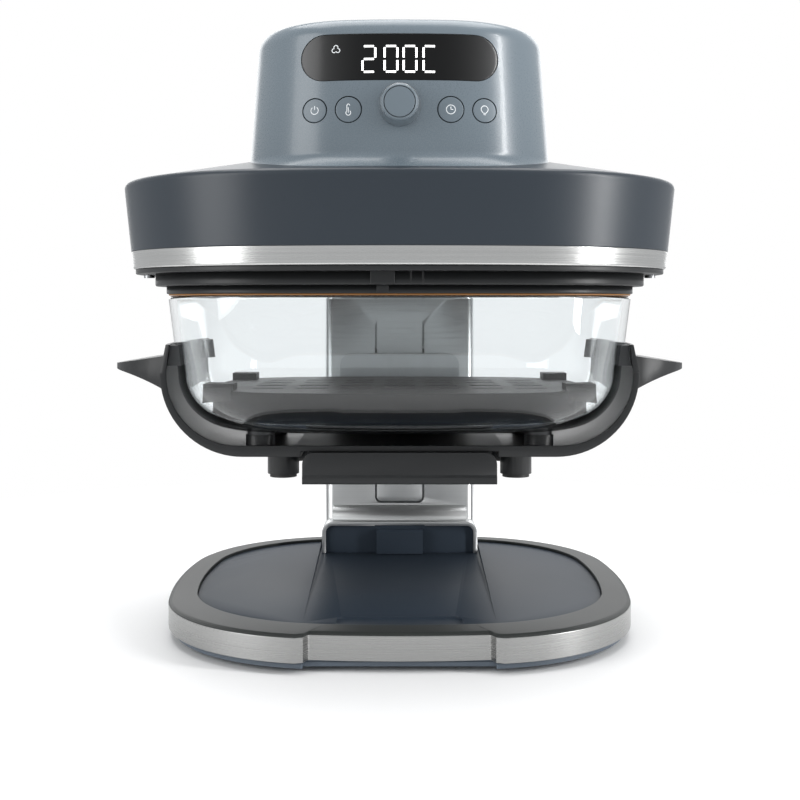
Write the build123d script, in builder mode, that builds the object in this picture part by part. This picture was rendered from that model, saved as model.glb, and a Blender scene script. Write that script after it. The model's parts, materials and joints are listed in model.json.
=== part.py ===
from build123d import *
from collections import namedtuple
from math import cos, degrees, radians, sin
import os

os.makedirs("parts", exist_ok=True)

# All sizes in millimetres. Z up, Y to the back, origin under the middle of the base.

# Plan outlines: rounded shapes with four long bowed sides
Outline = namedtuple("Outline", "half_width half_depth end_radius side_radius corner centre_y")
base_form = Outline(145.5, 149.0, 440.0, 446.0, 102.0, 0.0)
deck_form = Outline(129.5, 129.5, 395.0, 405.0, 90.0, 7.0)
head_form = Outline(175.0, 150.0, 378.0, 368.0, 124.0, 0.0)
dome_form = Outline(92.5, 103.5, 294.0, 310.0, 67.0, -29.5)
glass_form = Outline(145.7, 112.0, 500.0, 525.0, 84.0, -10.0)

# Fits
running_gap = 0.3
seat_gap = 0.1
shaft_gap = 0.05
screw_radius = 1.75
screw_head_radius = 3.4
screw_head_height = 1.8

# Base
foot_height = 4.0
foot_radius = 10.0
foot_x = 92.0
foot_y = 98.0
foot_pocket = 1.0
tray_bottom = 3.0
tray_floor = 2.4
tray_inset = 3.6
tray_wall = 2.4
post_radius = 5.0
post_x = 100.0
post_y = 60.0
band_bottom = 6.5
band_wall = 1.2
frame_top = 22.0
frame_plate = 2.4
frame_wall = 2.1
frame_roll = 1.4
deck_top = 20.0
deck_plate = 2.5
ledge_width = 5.0
grip_half_width = 49.5
grip_depth = 8.0
grip_round = 2.4
trough_front_half = 55.5
trough_back_half = 59.8
trough_front = -109.0
trough_back = 136.0
trough_depth = 3.3
finger_half_width = 36.5
finger_front = -113.5
finger_back = -95.0
finger_depth = 1.4
ballast_half_width = 62.0
ballast_half_depth = 75.0
ballast_height = 5.0

# Column
column_half_width = 56.0
column_front = 118.0
column_back_y = 141.0
column_corner = 6.0
column_wall = 1.5
column_foot = 9.0
slot_half_width = 18.6
slot_bottom = 51.8
slot_top = 190.0
slot_corner = 5.0
slit_width = 1.6
hood_front = 100.5
hood_top = 40.5
hood_wall = 2.8
hood_half_width = 57.5
hood_corner = 8.0
hood_flare = 10.0
boss_half_width = 17.0
boss_front = 96.5
boss_top = 35.0
notch_half_width = 18.5
notch_depth = 1.6
block_front = 103.5
mast_half_width = 34.0
mast_wall = 3.0
mast_front = 120.0
mast_web = 131.6
mast_plate_half = 50.0
mast_top = 243.0
back_wall = 2.0
gland_radius = 8.0
gland_z = 36.0

# Head
head_bottom = 234.5
head_edge = 276.2
head_roll = 3.6
head_draft = 4.3
head_wall = 2.6
crown_slope = 0.2
head_screw_x = 159.1
head_screw_y = 30.0
head_screw_length = 14.0
boss_radius = 3.6
crown_reach = 82.0
head_band_draft = 1.4
liner_top = 223.5
liner_bottom = 213.0
liner_step = 10.3
liner_wall = 2.5
liner_flange = 3.0
liner_edge = 7.0
seal_bottom = 208.3
seal_step = 1.0
gasket_height = 1.0
throat_inset = 9.0
pan_top = 254.0
pan_draft = 14.0
pan_wall = 0.8
pan_flange = 5.0

# Dome
dome_waist = 288.0
dome_foot = 276.5
dome_edge = 352.0
dome_draft = 4.8
dome_top = 366.0
dome_roll = 10.0
dome_crown = 3.0
dome_wall = 2.6
foot_flare = 10.0
lens_half_width = 55.5
lens_bottom = 327.0
lens_top = 353.0
lens_depth = 2.0
lens_gap = 0.2
board_y = -112.0
board_thickness = 1.6
board_half_width = 56.0
board_bottom = 300.0
board_top = 350.0
module_half_width = 46.0
module_half_height = 10.0
module_depth = 7.0
button_z = 310.5
outer_button_x = 47.6
inner_button_x = 28.5
outer_button_radius = 6.8
inner_button_radius = 7.3
button_gap = 0.25
button_travel = 0.8
button_stem = 2.5
switch_height = 3.0
dial_z = 312.5
dial_base_radius = 11.8
dial_face_radius = 9.2
dial_height = 12.1
dial_gap = 2.3
dial_round = 1.6
dial_press = 1.0
dial_shaft_radius = 3.0
encoder_radius = 8.0
encoder_depth = 9.0
vent_half_width = 45.0
vent_bottom = 300.0
vent_top = 340.0
vent_slots = 7

# Hot air parts
fan_radius = 56.0
fan_bottom = 234.0
fan_height = 15.0
fan_plate = 1.2
fan_blades = 14
blade_thickness = 1.0
hub_radius = 10.0
coil_z = 222.0
coil_wire = 3.2
coil_inner = 62.0
coil_pitch = 12.0
coil_half_turns = 6
clip_width = 8.0
clip_wall = 1.0
strap_inset = 2.0
guard_thickness = 1.2
guard_margin = 3.0
guard_slot_width = 9.0
guard_bridge = 6.0
guard_first_radius = 32.0
guard_pitch = 22.0
motor_radius = 31.0
motor_bottom = 264.0
motor_top = 300.0
bracket_reach = 42.0
bracket_plate = 1.6
shaft_radius = 4.0
shaft_bottom = 226.0
shaft_top = 320.0
cooler_radius = 40.0
cooler_bottom = 304.0
cooler_height = 10.0
cooler_blades = 9
probe_radius = 1.5
probe_x = 104.0
probe_y = 30.0
lamp_radius = 13.0
lamp_x = 92.0
lamp_y = -62.0

# Container and cradle
glass_rim = 207.0
glass_bottom = 125.0
glass_wall = 4.5
glass_corner = 35.0
glass_draft = 5.9
cradle_half_depth = 60.0
cradle_end_half = 144.8
cradle_middle_half = 149.5
cradle_knee = 161.0
cradle_top = 177.5
cradle_lean = 3.4
cradle_bottom = 109.8
cradle_corner = 50.0
cradle_wall = 3.5
cradle_flange = 6.6
flange_width = 4.0
channel_half_width = 59.8
channel_wall = 3.2
wing_tip_x = 183.0
wing_tip_z = 162.6
wing_root_x = 143.0
wing_root_top = 170.5
wing_root_bottom = 148.0
wing_tip_half = 1.6
wing_half_depth = 46.0
cradle_foot_x = 72.0
cradle_foot_y = 40.0
cradle_foot_radius = 9.7
cradle_foot_bottom = 97.5
tip_height = 2.0
tip_inset = 1.4
support_x = 86.0
support_y = 42.0
support_radius = 9.0
glass_pad_height = 3.0
ear_pad_bottom = 164.7
ear_pad_depth = 17.0
ear_pad_reach = 21.0

# Crisper plate
plate_top = 150.0
plate_thickness = 2.0
plate_inset = 27.0
plate_skirt = 14.0
slot_rows = 5
slot_columns = 7
slot_length = 20.0
slot_width = 5.0
slot_pitch_x = 27.0
slot_pitch_y = 22.0
bumper_x = 108.0
bumper_y = 56.0
bumper_size = 17.0
bumper_bottom = 144.0
bumper_top = 154.4
bumper_leg_inset = 5.0
bumper_leg_radius = 4.0
stud_radius = 2.5

# Lift
lift_travel = 72.0
platform_half_width = 55.5
platform_top = 112.9
platform_front = -70.5
platform_back = 95.0
platform_wall = 2.5
platform_front_depth = 9.0
platform_back_depth = 22.0
lip_half_width = 58.5
lip_bottom = 94.0
lip_thickness = 5.0
lip_corner = 7.0
lip_bead = 1.0
bead_height = 4.2
pad_strip_x = 34.0
pad_strip_half_width = 6.0
pad_strip_height = 1.5
lift_plate = 3.0
lift_plate_half = 44.0
lift_plate_top = 165.0
lift_plate_front = 103.1
lift_plate_bend = 126.0
bracket_foot_front = 57.0
stiffener_depth = 8.0
stiffener_top = 155.0
cheek_wall = 1.0
neck_bottom = 128.0
shoe_half_width = 24.0
shoe_front = 122.0
shoe_back = 129.2
shoe_margin = 3.0
rail_wall = 2.0
rail_bottom = 46.0
rail_top = 198.0
lift_screw_x = 30.0
lift_screw_y = 75.0
lift_screw_length = 12.0


def bowed_outline(form, inset=0.0, mode=Mode.ADD):
    """Four long arcs meeting in rounded corners, drawn in by the inset."""
    end_centre = form.half_depth - form.end_radius
    side_centre = form.half_width - form.side_radius
    with BuildSketch(mode=Mode.PRIVATE) as shape:
        with Locations((0, form.centre_y + end_centre)):
            Circle(form.end_radius - inset)
        with Locations((0, form.centre_y - end_centre)):
            Circle(form.end_radius - inset, mode=Mode.INTERSECT)
        with Locations((side_centre, form.centre_y)):
            Circle(form.side_radius - inset, mode=Mode.INTERSECT)
        with Locations((-side_centre, form.centre_y)):
            Circle(form.side_radius - inset, mode=Mode.INTERSECT)
        corners = shape.vertices().filter_by(lambda v: abs(v.Y - form.centre_y) > 1)
        fillet(corners, form.corner - inset)
    add(shape.sketch, mode=mode)


def bowed_body(form, profile):
    """A solid through the outline at each (height, inset) of the profile."""
    with BuildPart(mode=Mode.PRIVATE) as body:
        for height, inset in profile:
            with BuildSketch(Plane.XY.offset(height)):
                bowed_outline(form, inset)
        loft(ruled=True)
    return body.part


def bowed_ring(form, z_range, outer_inset, inner_inset):
    """A straight-sided ring between two insets of one outline."""
    with BuildPart(mode=Mode.PRIVATE) as ring:
        with BuildSketch(Plane.XY.offset(z_range[0])):
            bowed_outline(form, outer_inset)
            bowed_outline(form, inner_inset, mode=Mode.SUBTRACT)
        extrude(amount=z_range[1] - z_range[0])
    return ring.part


def post(x, y, z_range, radius):
    """An upright cylinder between two heights."""
    with BuildPart(mode=Mode.PRIVATE) as upright:
        with BuildSketch(Plane.XY.offset(z_range[0])):
            with Locations((x, y)):
                Circle(radius)
        extrude(amount=z_range[1] - z_range[0])
    return upright.part


def rod(x, z, y_range, radius):
    """A cylinder lying along Y between two depths."""
    with BuildPart(mode=Mode.PRIVATE) as lying:
        with BuildSketch(Plane.XZ.offset(-y_range[0])):
            with Locations((x, z)):
                Circle(radius)
        extrude(amount=y_range[0] - y_range[1])
    return lying.part


def block(x_range, y_range, z_range):
    """A block between two opposite corners."""
    middle = ((x_range[0] + x_range[1]) / 2, (y_range[0] + y_range[1]) / 2)
    with BuildPart(mode=Mode.PRIVATE) as slab:
        with BuildSketch(Plane.XY.offset(z_range[0])):
            with Locations(middle):
                Rectangle(x_range[1] - x_range[0], y_range[1] - y_range[0])
        extrude(amount=z_range[1] - z_range[0])
    return slab.part


def side_profile(points, half_width):
    """A closed outline of (y, z) points carried across the width."""
    with BuildPart(mode=Mode.PRIVATE) as across:
        with BuildSketch(Plane.YZ):
            with BuildLine():
                Polyline(*points, close=True)
            make_face()
        extrude(amount=half_width, both=True)
    return across.part


def upright_screw(x, y, head_z, length, direction):
    """A screw whose head's outer face lies at head_z, its shank along Z."""
    head_end = head_z + direction * screw_head_height
    with BuildPart(mode=Mode.PRIVATE) as screw:
        add(post(x, y, sorted((head_z, head_end)), screw_head_radius))
        add(post(x, y, sorted((head_end, head_end + direction * length)), screw_radius))
    return screw.part


def keep(piece, name):
    """Label a finished piece and write its file."""
    piece.part.label = name
    export_step(piece.part, f"parts/{name}.step")


def mirror_spots(x, y, centre_y=0.0):
    """Four spots, one in each quarter."""
    return [(sx * x, centre_y + sy * y) for sx in (-1, 1) for sy in (-1, 1)]


# Base outline with the shallow grip hollow in the middle of its front
def base_outline(inset):
    """The base outline drawn in by the inset, hollow included."""
    half_width = grip_half_width + inset
    back = grip_depth + inset - base_form.half_depth
    front = -base_form.half_depth - grip_depth
    with BuildSketch(mode=Mode.PRIVATE) as shape:
        bowed_outline(base_form, inset)
        with Locations((0, (front + back) / 2)):
            Rectangle(2 * half_width, back - front, mode=Mode.SUBTRACT)
        steps = shape.vertices().filter_by(lambda v: abs(abs(v.X) - half_width) < 0.5 and v.Y < 0)
        fillet(steps.sort_by(Axis.Y)[:2], max(grip_round - inset, grip_round / 4))
        fillet(steps.sort_by(Axis.Y)[2:], grip_round / 2)
    return shape.sketch


def base_ring(z_range, outer_inset, inner_inset):
    """An upright wall that follows the base outline."""
    with BuildPart(mode=Mode.PRIVATE) as ring:
        with BuildSketch(Plane.XY.offset(z_range[0])):
            add(base_outline(outer_inset))
            add(base_outline(inner_inset), mode=Mode.SUBTRACT)
        extrude(amount=z_range[1] - z_range[0])
    return ring.part


# Cut that lets the column pass through the base
def column_footprint(gap):
    """The column's plan with a gap all round."""
    with BuildSketch(mode=Mode.PRIVATE) as plan:
        with Locations((0, (column_front + column_back_y) / 2)):
            RectangleRounded(
                2 * (column_half_width + gap),
                column_back_y - column_front + 2 * gap,
                column_corner + gap,
            )
    return plan.sketch


def column_cut(z_range, gap):
    """The column's footprint as a cutting block."""
    with BuildPart(mode=Mode.PRIVATE) as cutter:
        with BuildSketch(Plane.XY.offset(z_range[0])):
            add(column_footprint(gap))
        extrude(amount=z_range[1] - z_range[0])
    return cutter.part


# Ramp of the deck: flush at its front, deepest at the column
def ramp_height(y):
    """Height of the ramp's surface at a depth."""
    return deck_top - trough_depth * (y - trough_front) / (trough_back - trough_front)


def trough_half(y):
    """Half width of the ramp at a depth."""
    share = (y - trough_front) / (trough_back - trough_front)
    return trough_front_half + (trough_back_half - trough_front_half) * share


deck_under = deck_top - deck_plate
ramp_under = deck_under - trough_depth
foot_spots = mirror_spots(foot_x, foot_y)
post_spots = mirror_spots(post_x, post_y)
tray_inside = tray_bottom + tray_floor
wall_gap = tray_inset + 0.5

# Base tray
with BuildPart() as base_tray:
    with BuildSketch(Plane.XY.offset(tray_bottom)):
        add(base_outline(tray_inset))
    extrude(amount=tray_floor)
    add(base_ring((tray_inside, deck_under - seat_gap), wall_gap, wall_gap + tray_wall))
    for spot in post_spots:
        add(post(*spot, (tray_inside, deck_under - seat_gap), post_radius))
    for spot in foot_spots:
        add(post(*spot, (tray_bottom, tray_bottom + foot_pocket), foot_radius + seat_gap), mode=Mode.SUBTRACT)
    for spot in post_spots:
        add(post(*spot, (tray_bottom, deck_under), screw_radius + seat_gap), mode=Mode.SUBTRACT)
        head_room = (tray_bottom, tray_bottom + screw_head_height + seat_gap)
        add(post(*spot, head_room, screw_head_radius + seat_gap), mode=Mode.SUBTRACT)
    add(column_cut((tray_inside, deck_top), running_gap), mode=Mode.SUBTRACT)
keep(base_tray, "base_tray")

# Rubber feet, seated in the tray's pockets
with BuildPart() as base_feet:
    for spot in foot_spots:
        add(post(*spot, (0, foot_height), foot_radius))
keep(base_feet, "base_feet")

# Base screws, heads under the tray
with BuildPart() as base_screws:
    for x, y in post_spots:
        add(upright_screw(x, y, tray_bottom + seat_gap, deck_under - tray_bottom - 4.0, 1))
keep(base_screws, "base_screws")

# Ballast plate that steadies the base
with BuildPart() as base_ballast:
    with BuildSketch(Plane.XY.offset(tray_inside)):
        RectangleRounded(2 * ballast_half_width, 2 * ballast_half_depth, 8.0)
    extrude(amount=ballast_height)
keep(base_ballast, "base_ballast")

# Brushed steel band round the edge
band_top = frame_top - frame_roll
with BuildPart() as base_band:
    add(base_ring((band_bottom, band_top), 0.0, band_wall))
keep(base_band, "base_band")

# Top frame ring with its inner skirt and the ledge under the deck
ledge_top = deck_under
frame_skirt = band_wall + seat_gap
with BuildPart() as base_frame:
    with BuildSketch(Plane.XY.offset(band_top)):
        add(base_outline(0.0))
        bowed_outline(deck_form, -seat_gap, mode=Mode.SUBTRACT)
    extrude(amount=frame_roll)
    fillet(base_frame.edges().group_by(Axis.Z)[-1].sort_by(SortBy.LENGTH)[-1:], frame_roll * 0.6)
    add(base_ring((band_bottom + seat_gap, band_top), frame_skirt, frame_skirt + frame_wall))
    add(bowed_ring(deck_form, (ledge_top - frame_plate, band_top), -frame_plate, -seat_gap))
    add(bowed_ring(deck_form, (ledge_top - frame_plate, ledge_top), -frame_plate, ledge_width))
    add(column_cut((band_bottom, frame_top + 1), running_gap), mode=Mode.SUBTRACT)
    ramp_room_half = trough_back_half + running_gap
    ledge_room = (column_front - 40, deck_form.centre_y + deck_form.half_depth + seat_gap)
    add(block((-ramp_room_half, ramp_room_half), ledge_room, (band_bottom, ledge_top)), mode=Mode.SUBTRACT)
keep(base_frame, "base_frame")

# Inset deck with its central ramp and shallow finger recess
with BuildPart() as base_deck:
    with BuildSketch(Plane.XY.offset(deck_under)):
        bowed_outline(deck_form, running_gap)
    extrude(amount=deck_plate)
    ramp_ends = [(trough_front, deck_under), (trough_back, deck_under), (trough_back, ramp_under)]
    add(side_profile(ramp_ends, trough_back_half))
    with BuildSketch(Plane.XY.offset(ramp_under), mode=Mode.PRIVATE) as ramp_plan:
        with BuildLine():
            Polyline(
                (-trough_front_half, trough_front),
                (trough_front_half, trough_front),
                (trough_back_half, trough_back + 5),
                (-trough_back_half, trough_back + 5),
                close=True,
            )
        make_face()
    with BuildPart(mode=Mode.PRIVATE) as ramp_room:
        add(ramp_plan.sketch)
        extrude(amount=deck_top + 5 - ramp_under)
        slope_end = ramp_height(trough_back + 5)
        above_ramp = [
            (trough_front, ramp_height(trough_front)),
            (trough_back + 5, slope_end),
            (trough_back + 5, deck_top + 1),
            (trough_front, deck_top + 1),
        ]
        add(side_profile(above_ramp, 2 * trough_back_half), mode=Mode.INTERSECT)
    add(ramp_room.part, mode=Mode.SUBTRACT)
    with BuildSketch(Plane.XY.offset(deck_top)):
        with Locations((0, (finger_front + finger_back) / 2)):
            RectangleRounded(2 * finger_half_width, finger_back - finger_front, 5.0)
    extrude(amount=-finger_depth, mode=Mode.SUBTRACT)
    add(column_cut((0, deck_top + 5), running_gap), mode=Mode.SUBTRACT)
    deck_trim = bowed_ring(deck_form, (0, deck_top + 1), -40.0, running_gap)
    add(deck_trim, mode=Mode.SUBTRACT)
keep(base_deck, "base_deck")

# Foot block under the column's hood, with its central boss
block_floor = ramp_height(column_front) + seat_gap
with BuildPart() as column_foot_block:
    inside = hood_half_width - hood_wall - seat_gap
    add(block((-inside, inside), (block_front, column_front - seat_gap), (block_floor, hood_top - hood_wall - seat_gap)))
    upper = column_foot_block.edges().filter_by(Axis.Y).group_by(Axis.Z)[-1]
    fillet(upper, hood_corner - hood_wall)
    boss_back = block_front + 1.0
    add(block((-boss_half_width, boss_half_width), (boss_front, boss_back), (block_floor + 0.6, boss_top)))
    boss_edges = column_foot_block.edges().filter_by(Axis.X).group_by(Axis.Y)[0]
    chamfer(boss_edges.sort_by(Axis.Z)[-1], 1.2)
    under = [
        (boss_front - 5, ramp_height(boss_front - 5) - 5),
        (column_front, ramp_height(column_front) - 5),
        (column_front, ramp_height(column_front) + seat_gap),
        (boss_front - 5, ramp_height(boss_front - 5) + seat_gap),
    ]
    add(side_profile(under, 2 * hood_half_width), mode=Mode.SUBTRACT)
keep(column_foot_block, "column_foot_block")

# Column shell: folded steel, cut through by a narrow U-shaped slit, flaring into the hood
column_top = liner_top - liner_flange - seat_gap
hood_base = ramp_height(column_front) + 0.6


def hood_cove():
    """The hollow sweep between the hood's top and the column's face."""
    top = (column_front, hood_top + hood_flare)
    front = (column_front - hood_flare, hood_top)
    with BuildPart(mode=Mode.PRIVATE) as cove:
        with BuildSketch(Plane.YZ):
            with BuildLine():
                RadiusArc(front, top, hood_flare)
                Polyline(top, (column_front + 1, hood_top + hood_flare), (column_front + 1, hood_top - 1),
                         (column_front - hood_flare, hood_top - 1), front)
            make_face()
        extrude(amount=column_half_width - column_corner, both=True)
    return cove.part


def hood_tunnel(y_range, inset):
    """The hood's arch, drawn in by the inset."""
    half_width = hood_half_width - inset
    with BuildPart(mode=Mode.PRIVATE) as arch:
        add(block((-half_width, half_width), y_range, (hood_base - inset, hood_top - inset)))
        upper = arch.edges().filter_by(Axis.Y).group_by(Axis.Z)[-1]
        fillet(upper, hood_corner - inset)
    return arch.part


with BuildPart() as column_shell:
    with BuildSketch(Plane.XY.offset(column_foot)):
        add(column_footprint(0))
    extrude(amount=column_top - column_foot)
    add(hood_tunnel((hood_front, column_front + 2 * column_corner), 0))
    add(hood_cove())
    inner_half = column_half_width - column_wall
    inside_front = column_front + column_wall
    add(block((-inner_half, inner_half), (inside_front, column_back_y + 1), (0, column_top + 1)), mode=Mode.SUBTRACT)
    add(hood_tunnel((hood_front - 1, column_front), hood_wall), mode=Mode.SUBTRACT)
    notch_floor = hood_top - hood_wall - 1
    notch_roof = hood_top - hood_wall + notch_depth
    notch_depths = (hood_front - 1, hood_front + hood_wall)
    add(block((-notch_half_width, notch_half_width), notch_depths, (notch_floor, notch_roof)), mode=Mode.SUBTRACT)
    with BuildSketch(Plane.XZ.offset(-column_front - 2 * column_wall)):
        with Locations((0, (slot_bottom + slot_top) / 2)):
            RectangleRounded(2 * slot_half_width, slot_top - slot_bottom, slot_corner)
        tongue_half = slot_half_width - slit_width
        tongue_range = (slot_bottom + slit_width, slot_top + slot_corner)
        with Locations((0, sum(tongue_range) / 2)):
            tongue_height = tongue_range[1] - tongue_range[0]
            RectangleRounded(2 * tongue_half, tongue_height, slot_corner - slit_width, mode=Mode.SUBTRACT)
    extrude(amount=4 * column_wall, mode=Mode.SUBTRACT)
keep(column_shell, "column_shell")

# Rear cover of the column
with BuildPart() as column_back:
    with BuildSketch(Plane.XY.offset(frame_top + seat_gap)):
        add(column_footprint(0))
    extrude(amount=column_top - frame_top - seat_gap)
    cover_front = column_back_y - back_wall
    keep_depths = (cover_front, column_back_y + 1)
    add(block((-inner_half + seat_gap, inner_half - seat_gap), keep_depths, (0, column_top)), mode=Mode.INTERSECT)
    add(rod(0, gland_z, (cover_front - 1, column_back_y + 1), gland_radius + seat_gap), mode=Mode.SUBTRACT)
keep(column_back, "column_back")

# Inlet gland of the mains lead
with BuildPart() as cord_gland:
    add(rod(0, gland_z, (cover_front - 2, column_back_y + 4), gland_radius))
    add(rod(0, gland_z, (cover_front - 4, cover_front - seat_gap), gland_radius + 2))
    add(rod(0, gland_z, (cover_front - 5, column_back_y + 5), gland_radius / 2), mode=Mode.SUBTRACT)
    fillet(cord_gland.edges().group_by(Axis.Y)[-1].sort_by(SortBy.LENGTH)[-1], 1.5)
keep(cord_gland, "cord_gland")

# Steel mast that carries the head
mast_back = mast_web + mast_wall
mast_inside = mast_half_width - mast_wall
plate_bottom = tray_inside + seat_gap
with BuildPart() as column_mast:
    add(block((-mast_half_width, mast_half_width), (mast_front, mast_back), (plate_bottom, mast_top)))
    add(block((-mast_inside, mast_inside), (mast_front - 1, mast_web), (plate_bottom - 1, mast_top + 1)), mode=Mode.SUBTRACT)
    add(block((-mast_plate_half, mast_plate_half), (mast_front, cover_front - 1), (plate_bottom, column_foot - 0.5)))
keep(column_mast, "column_mast")

# Guide channel of the slide
rail_inner = shoe_half_width + running_gap
rail_outer = rail_inner + rail_wall
rail_front = column_front + column_wall + seat_gap
rail_web = mast_web - rail_wall - seat_gap
with BuildPart() as guide_channel:
    add(block((-rail_outer, rail_outer), (rail_front, mast_web - seat_gap), (rail_bottom, rail_top)))
    add(block((-rail_inner, rail_inner), (rail_front - 1, rail_web), (rail_bottom - 1, rail_top + 1)), mode=Mode.SUBTRACT)
keep(guide_channel, "guide_channel")

# Head skirt: one moulding of side wall, rolled edge and crowned top
def roll_points(radius, height, steps=3):
    """(height, inset) points of a quarter roll that starts upright."""
    spread = [radians(90 * step / steps) for step in range(1, steps + 1)]
    return [(height - radius + radius * sin(turn), radius * (1 - cos(turn))) for turn in spread]


crown_top = head_edge + crown_slope * crown_reach


def head_profile(shrink, bottom):
    """The head's section, drawn in by the wall."""
    lean = head_draft * (head_edge - head_roll - bottom) / (head_edge - head_roll - head_bottom)
    points = [(bottom, lean + shrink), (head_edge - head_roll, shrink)]
    points += [(z - shrink, inset + shrink) for z, inset in roll_points(head_roll, head_edge)]
    points.append((crown_top - shrink, head_roll + crown_reach + shrink))
    return points


head_screw_spots = mirror_spots(head_screw_x, head_screw_y)
with BuildPart() as head_skirt:
    add(bowed_body(head_form, head_profile(0, head_bottom)))
    add(bowed_body(head_form, head_profile(head_wall, head_bottom - 1)), mode=Mode.SUBTRACT)
    with BuildSketch(Plane.XY.offset(head_edge)):
        bowed_outline(dome_form, 4 * dome_wall)
    extrude(amount=crown_top, mode=Mode.SUBTRACT)
    for spot in head_screw_spots:
        add(post(*spot, (liner_top + seat_gap, head_edge - 1), boss_radius))
        bore = (liner_top, head_bottom + head_screw_length)
        add(post(*spot, bore, screw_radius + seat_gap), mode=Mode.SUBTRACT)
keep(head_skirt, "head_skirt")

# Brushed steel band under the skirt
head_band_bottom = liner_top + seat_gap
with BuildPart() as head_band:
    band_slope = [(head_band_bottom, head_draft + head_band_draft), (head_bottom - seat_gap, head_draft)]
    add(bowed_body(head_form, band_slope))
    inner_slope = [(head_band_bottom - 1, head_draft + head_band_draft + head_wall), (head_bottom, head_draft + head_wall)]
    add(bowed_body(head_form, inner_slope), mode=Mode.SUBTRACT)
keep(head_band, "head_band")

# Liner: charcoal floor of the head with its stepped ring
mast_hole = mast_half_width + 1.0
with BuildPart() as head_liner:
    flange_range = (liner_top - liner_flange, liner_top)
    band_inside = head_draft + head_band_draft + head_wall + seat_gap
    add(bowed_ring(head_form, (liner_top - 1, liner_top + 6), band_inside, band_inside + liner_wall))
    with BuildSketch(Plane.XY.offset(liner_top - liner_flange)):
        bowed_outline(head_form, liner_edge)
        bowed_outline(glass_form, liner_wall - liner_step, mode=Mode.SUBTRACT)
    extrude(amount=liner_flange)
    add(bowed_ring(glass_form, (liner_bottom, liner_top), -liner_step, liner_wall - liner_step))
    add(bowed_ring(glass_form, (liner_bottom, liner_bottom + liner_wall), -liner_step, throat_inset))
    mast_room = (mast_front - 1, mast_back + 1)
    add(block((-mast_hole, mast_hole), mast_room, (0, mast_top)), mode=Mode.SUBTRACT)
    for spot in head_screw_spots:
        add(post(*spot, (liner_bottom, liner_top + 1), screw_radius + seat_gap), mode=Mode.SUBTRACT)
keep(head_liner, "head_liner")

# Screws that hold the liner to the skirt's bosses
with BuildPart() as head_screws:
    flange_under = liner_top - liner_flange
    for x, y in head_screw_spots:
        head_face = flange_under - seat_gap - screw_head_height
        add(upright_screw(x, y, head_face, head_screw_length, 1))
keep(head_screws, "head_screws")

# Lower ring and the silicone gasket that meets the container's rim
with BuildPart() as seal_ring:
    add(bowed_ring(glass_form, (seal_bottom, liner_bottom), -seal_step, throat_inset))
keep(seal_ring, "seal_ring")

gasket_bottom = glass_rim + running_gap
with BuildPart() as rim_gasket:
    add(bowed_ring(glass_form, (gasket_bottom, seal_bottom), 0.4, throat_inset - 2))
keep(rim_gasket, "rim_gasket")

# Dome cover: tapered shell that flares onto the head's front edge
def dome_profile(shrink, bottom):
    """The dome's section from its flared foot to its crowned top."""
    flare_height = dome_waist - dome_foot
    points = []
    for step in range(5):
        rise = step / 4
        points.append((dome_foot + rise * flare_height, shrink - foot_flare * (1 - rise) ** 2))
    if bottom < dome_foot:
        points.insert(0, (bottom, shrink - foot_flare))
    points.append((dome_edge, dome_draft + shrink))
    edge = dome_top - dome_crown
    height = edge - dome_edge
    for turn in (30, 60, 90):
        z = dome_edge + height * sin(radians(turn)) - shrink * sin(radians(turn))
        inset = dome_draft + shrink + (dome_roll - shrink) * (1 - cos(radians(turn)))
        points.append((z, inset))
    points.append((dome_top - shrink, dome_form.half_width * 0.6))
    return points


def dome_front(z):
    """How far forward the dome's front face stands at a height."""
    inset = dome_draft * (z - dome_waist) / (dome_edge - dome_waist)
    return dome_form.centre_y - dome_form.half_depth + inset


def pill(half_width, bottom, top, y_range):
    """A lying pill shape carried along Y."""
    with BuildPart(mode=Mode.PRIVATE) as shape:
        with BuildSketch(Plane.XZ.offset(-y_range[0])):
            with Locations((0, (bottom + top) / 2)):
                SlotOverall(2 * half_width, top - bottom)
        extrude(amount=y_range[0] - y_range[1])
    return shape.part


buttons = {
    "power_button": (-outer_button_x, outer_button_radius),
    "temp_button": (-inner_button_x, inner_button_radius),
    "time_button": (inner_button_x, inner_button_radius),
    "light_button": (outer_button_x, outer_button_radius),
}
dome_outside = bowed_body(dome_form, dome_profile(0, dome_foot - 4))
front_room = (dome_form.centre_y - dome_form.half_depth - 20, dome_form.centre_y - 40)
board_front = board_y - board_thickness
with BuildPart(mode=Mode.PRIVATE) as board_posts:
    for x in (-board_half_width + 6, board_half_width - 6):
        for z in (board_bottom + 6, board_top - 6):
            add(rod(x, z, (dome_front(z), board_front - seat_gap), 3.0))
    add(bowed_body(dome_form, dome_profile(dome_wall / 2, dome_foot - 5)), mode=Mode.INTERSECT)
with BuildPart() as dome_cover:
    add(dome_outside)
    add(bowed_body(dome_form, dome_profile(dome_wall, dome_foot - 5)), mode=Mode.SUBTRACT)
    add(board_posts.part)
    add(bowed_body(head_form, head_profile(-seat_gap, head_bottom)), mode=Mode.SUBTRACT)
    lens_room = (lens_half_width + lens_gap, lens_bottom - lens_gap, lens_top + lens_gap)
    add(pill(*lens_room, front_room), mode=Mode.SUBTRACT)
    add(rod(0, dial_z, front_room, dial_shaft_radius + 1.5), mode=Mode.SUBTRACT)
    for x, radius in buttons.values():
        add(rod(x, button_z, front_room, radius + button_gap), mode=Mode.SUBTRACT)
    vent_pitch = (vent_top - vent_bottom) / vent_slots
    with BuildSketch(Plane.XZ.offset(-dome_form.centre_y - dome_form.half_depth - 5)):
        with Locations((0, (vent_bottom + vent_top) / 2)):
            with GridLocations(0, vent_pitch, 1, vent_slots):
                SlotOverall(2 * vent_half_width, vent_pitch * 0.5)
    extrude(amount=40, mode=Mode.SUBTRACT)
keep(dome_cover, "dome_cover")

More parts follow.
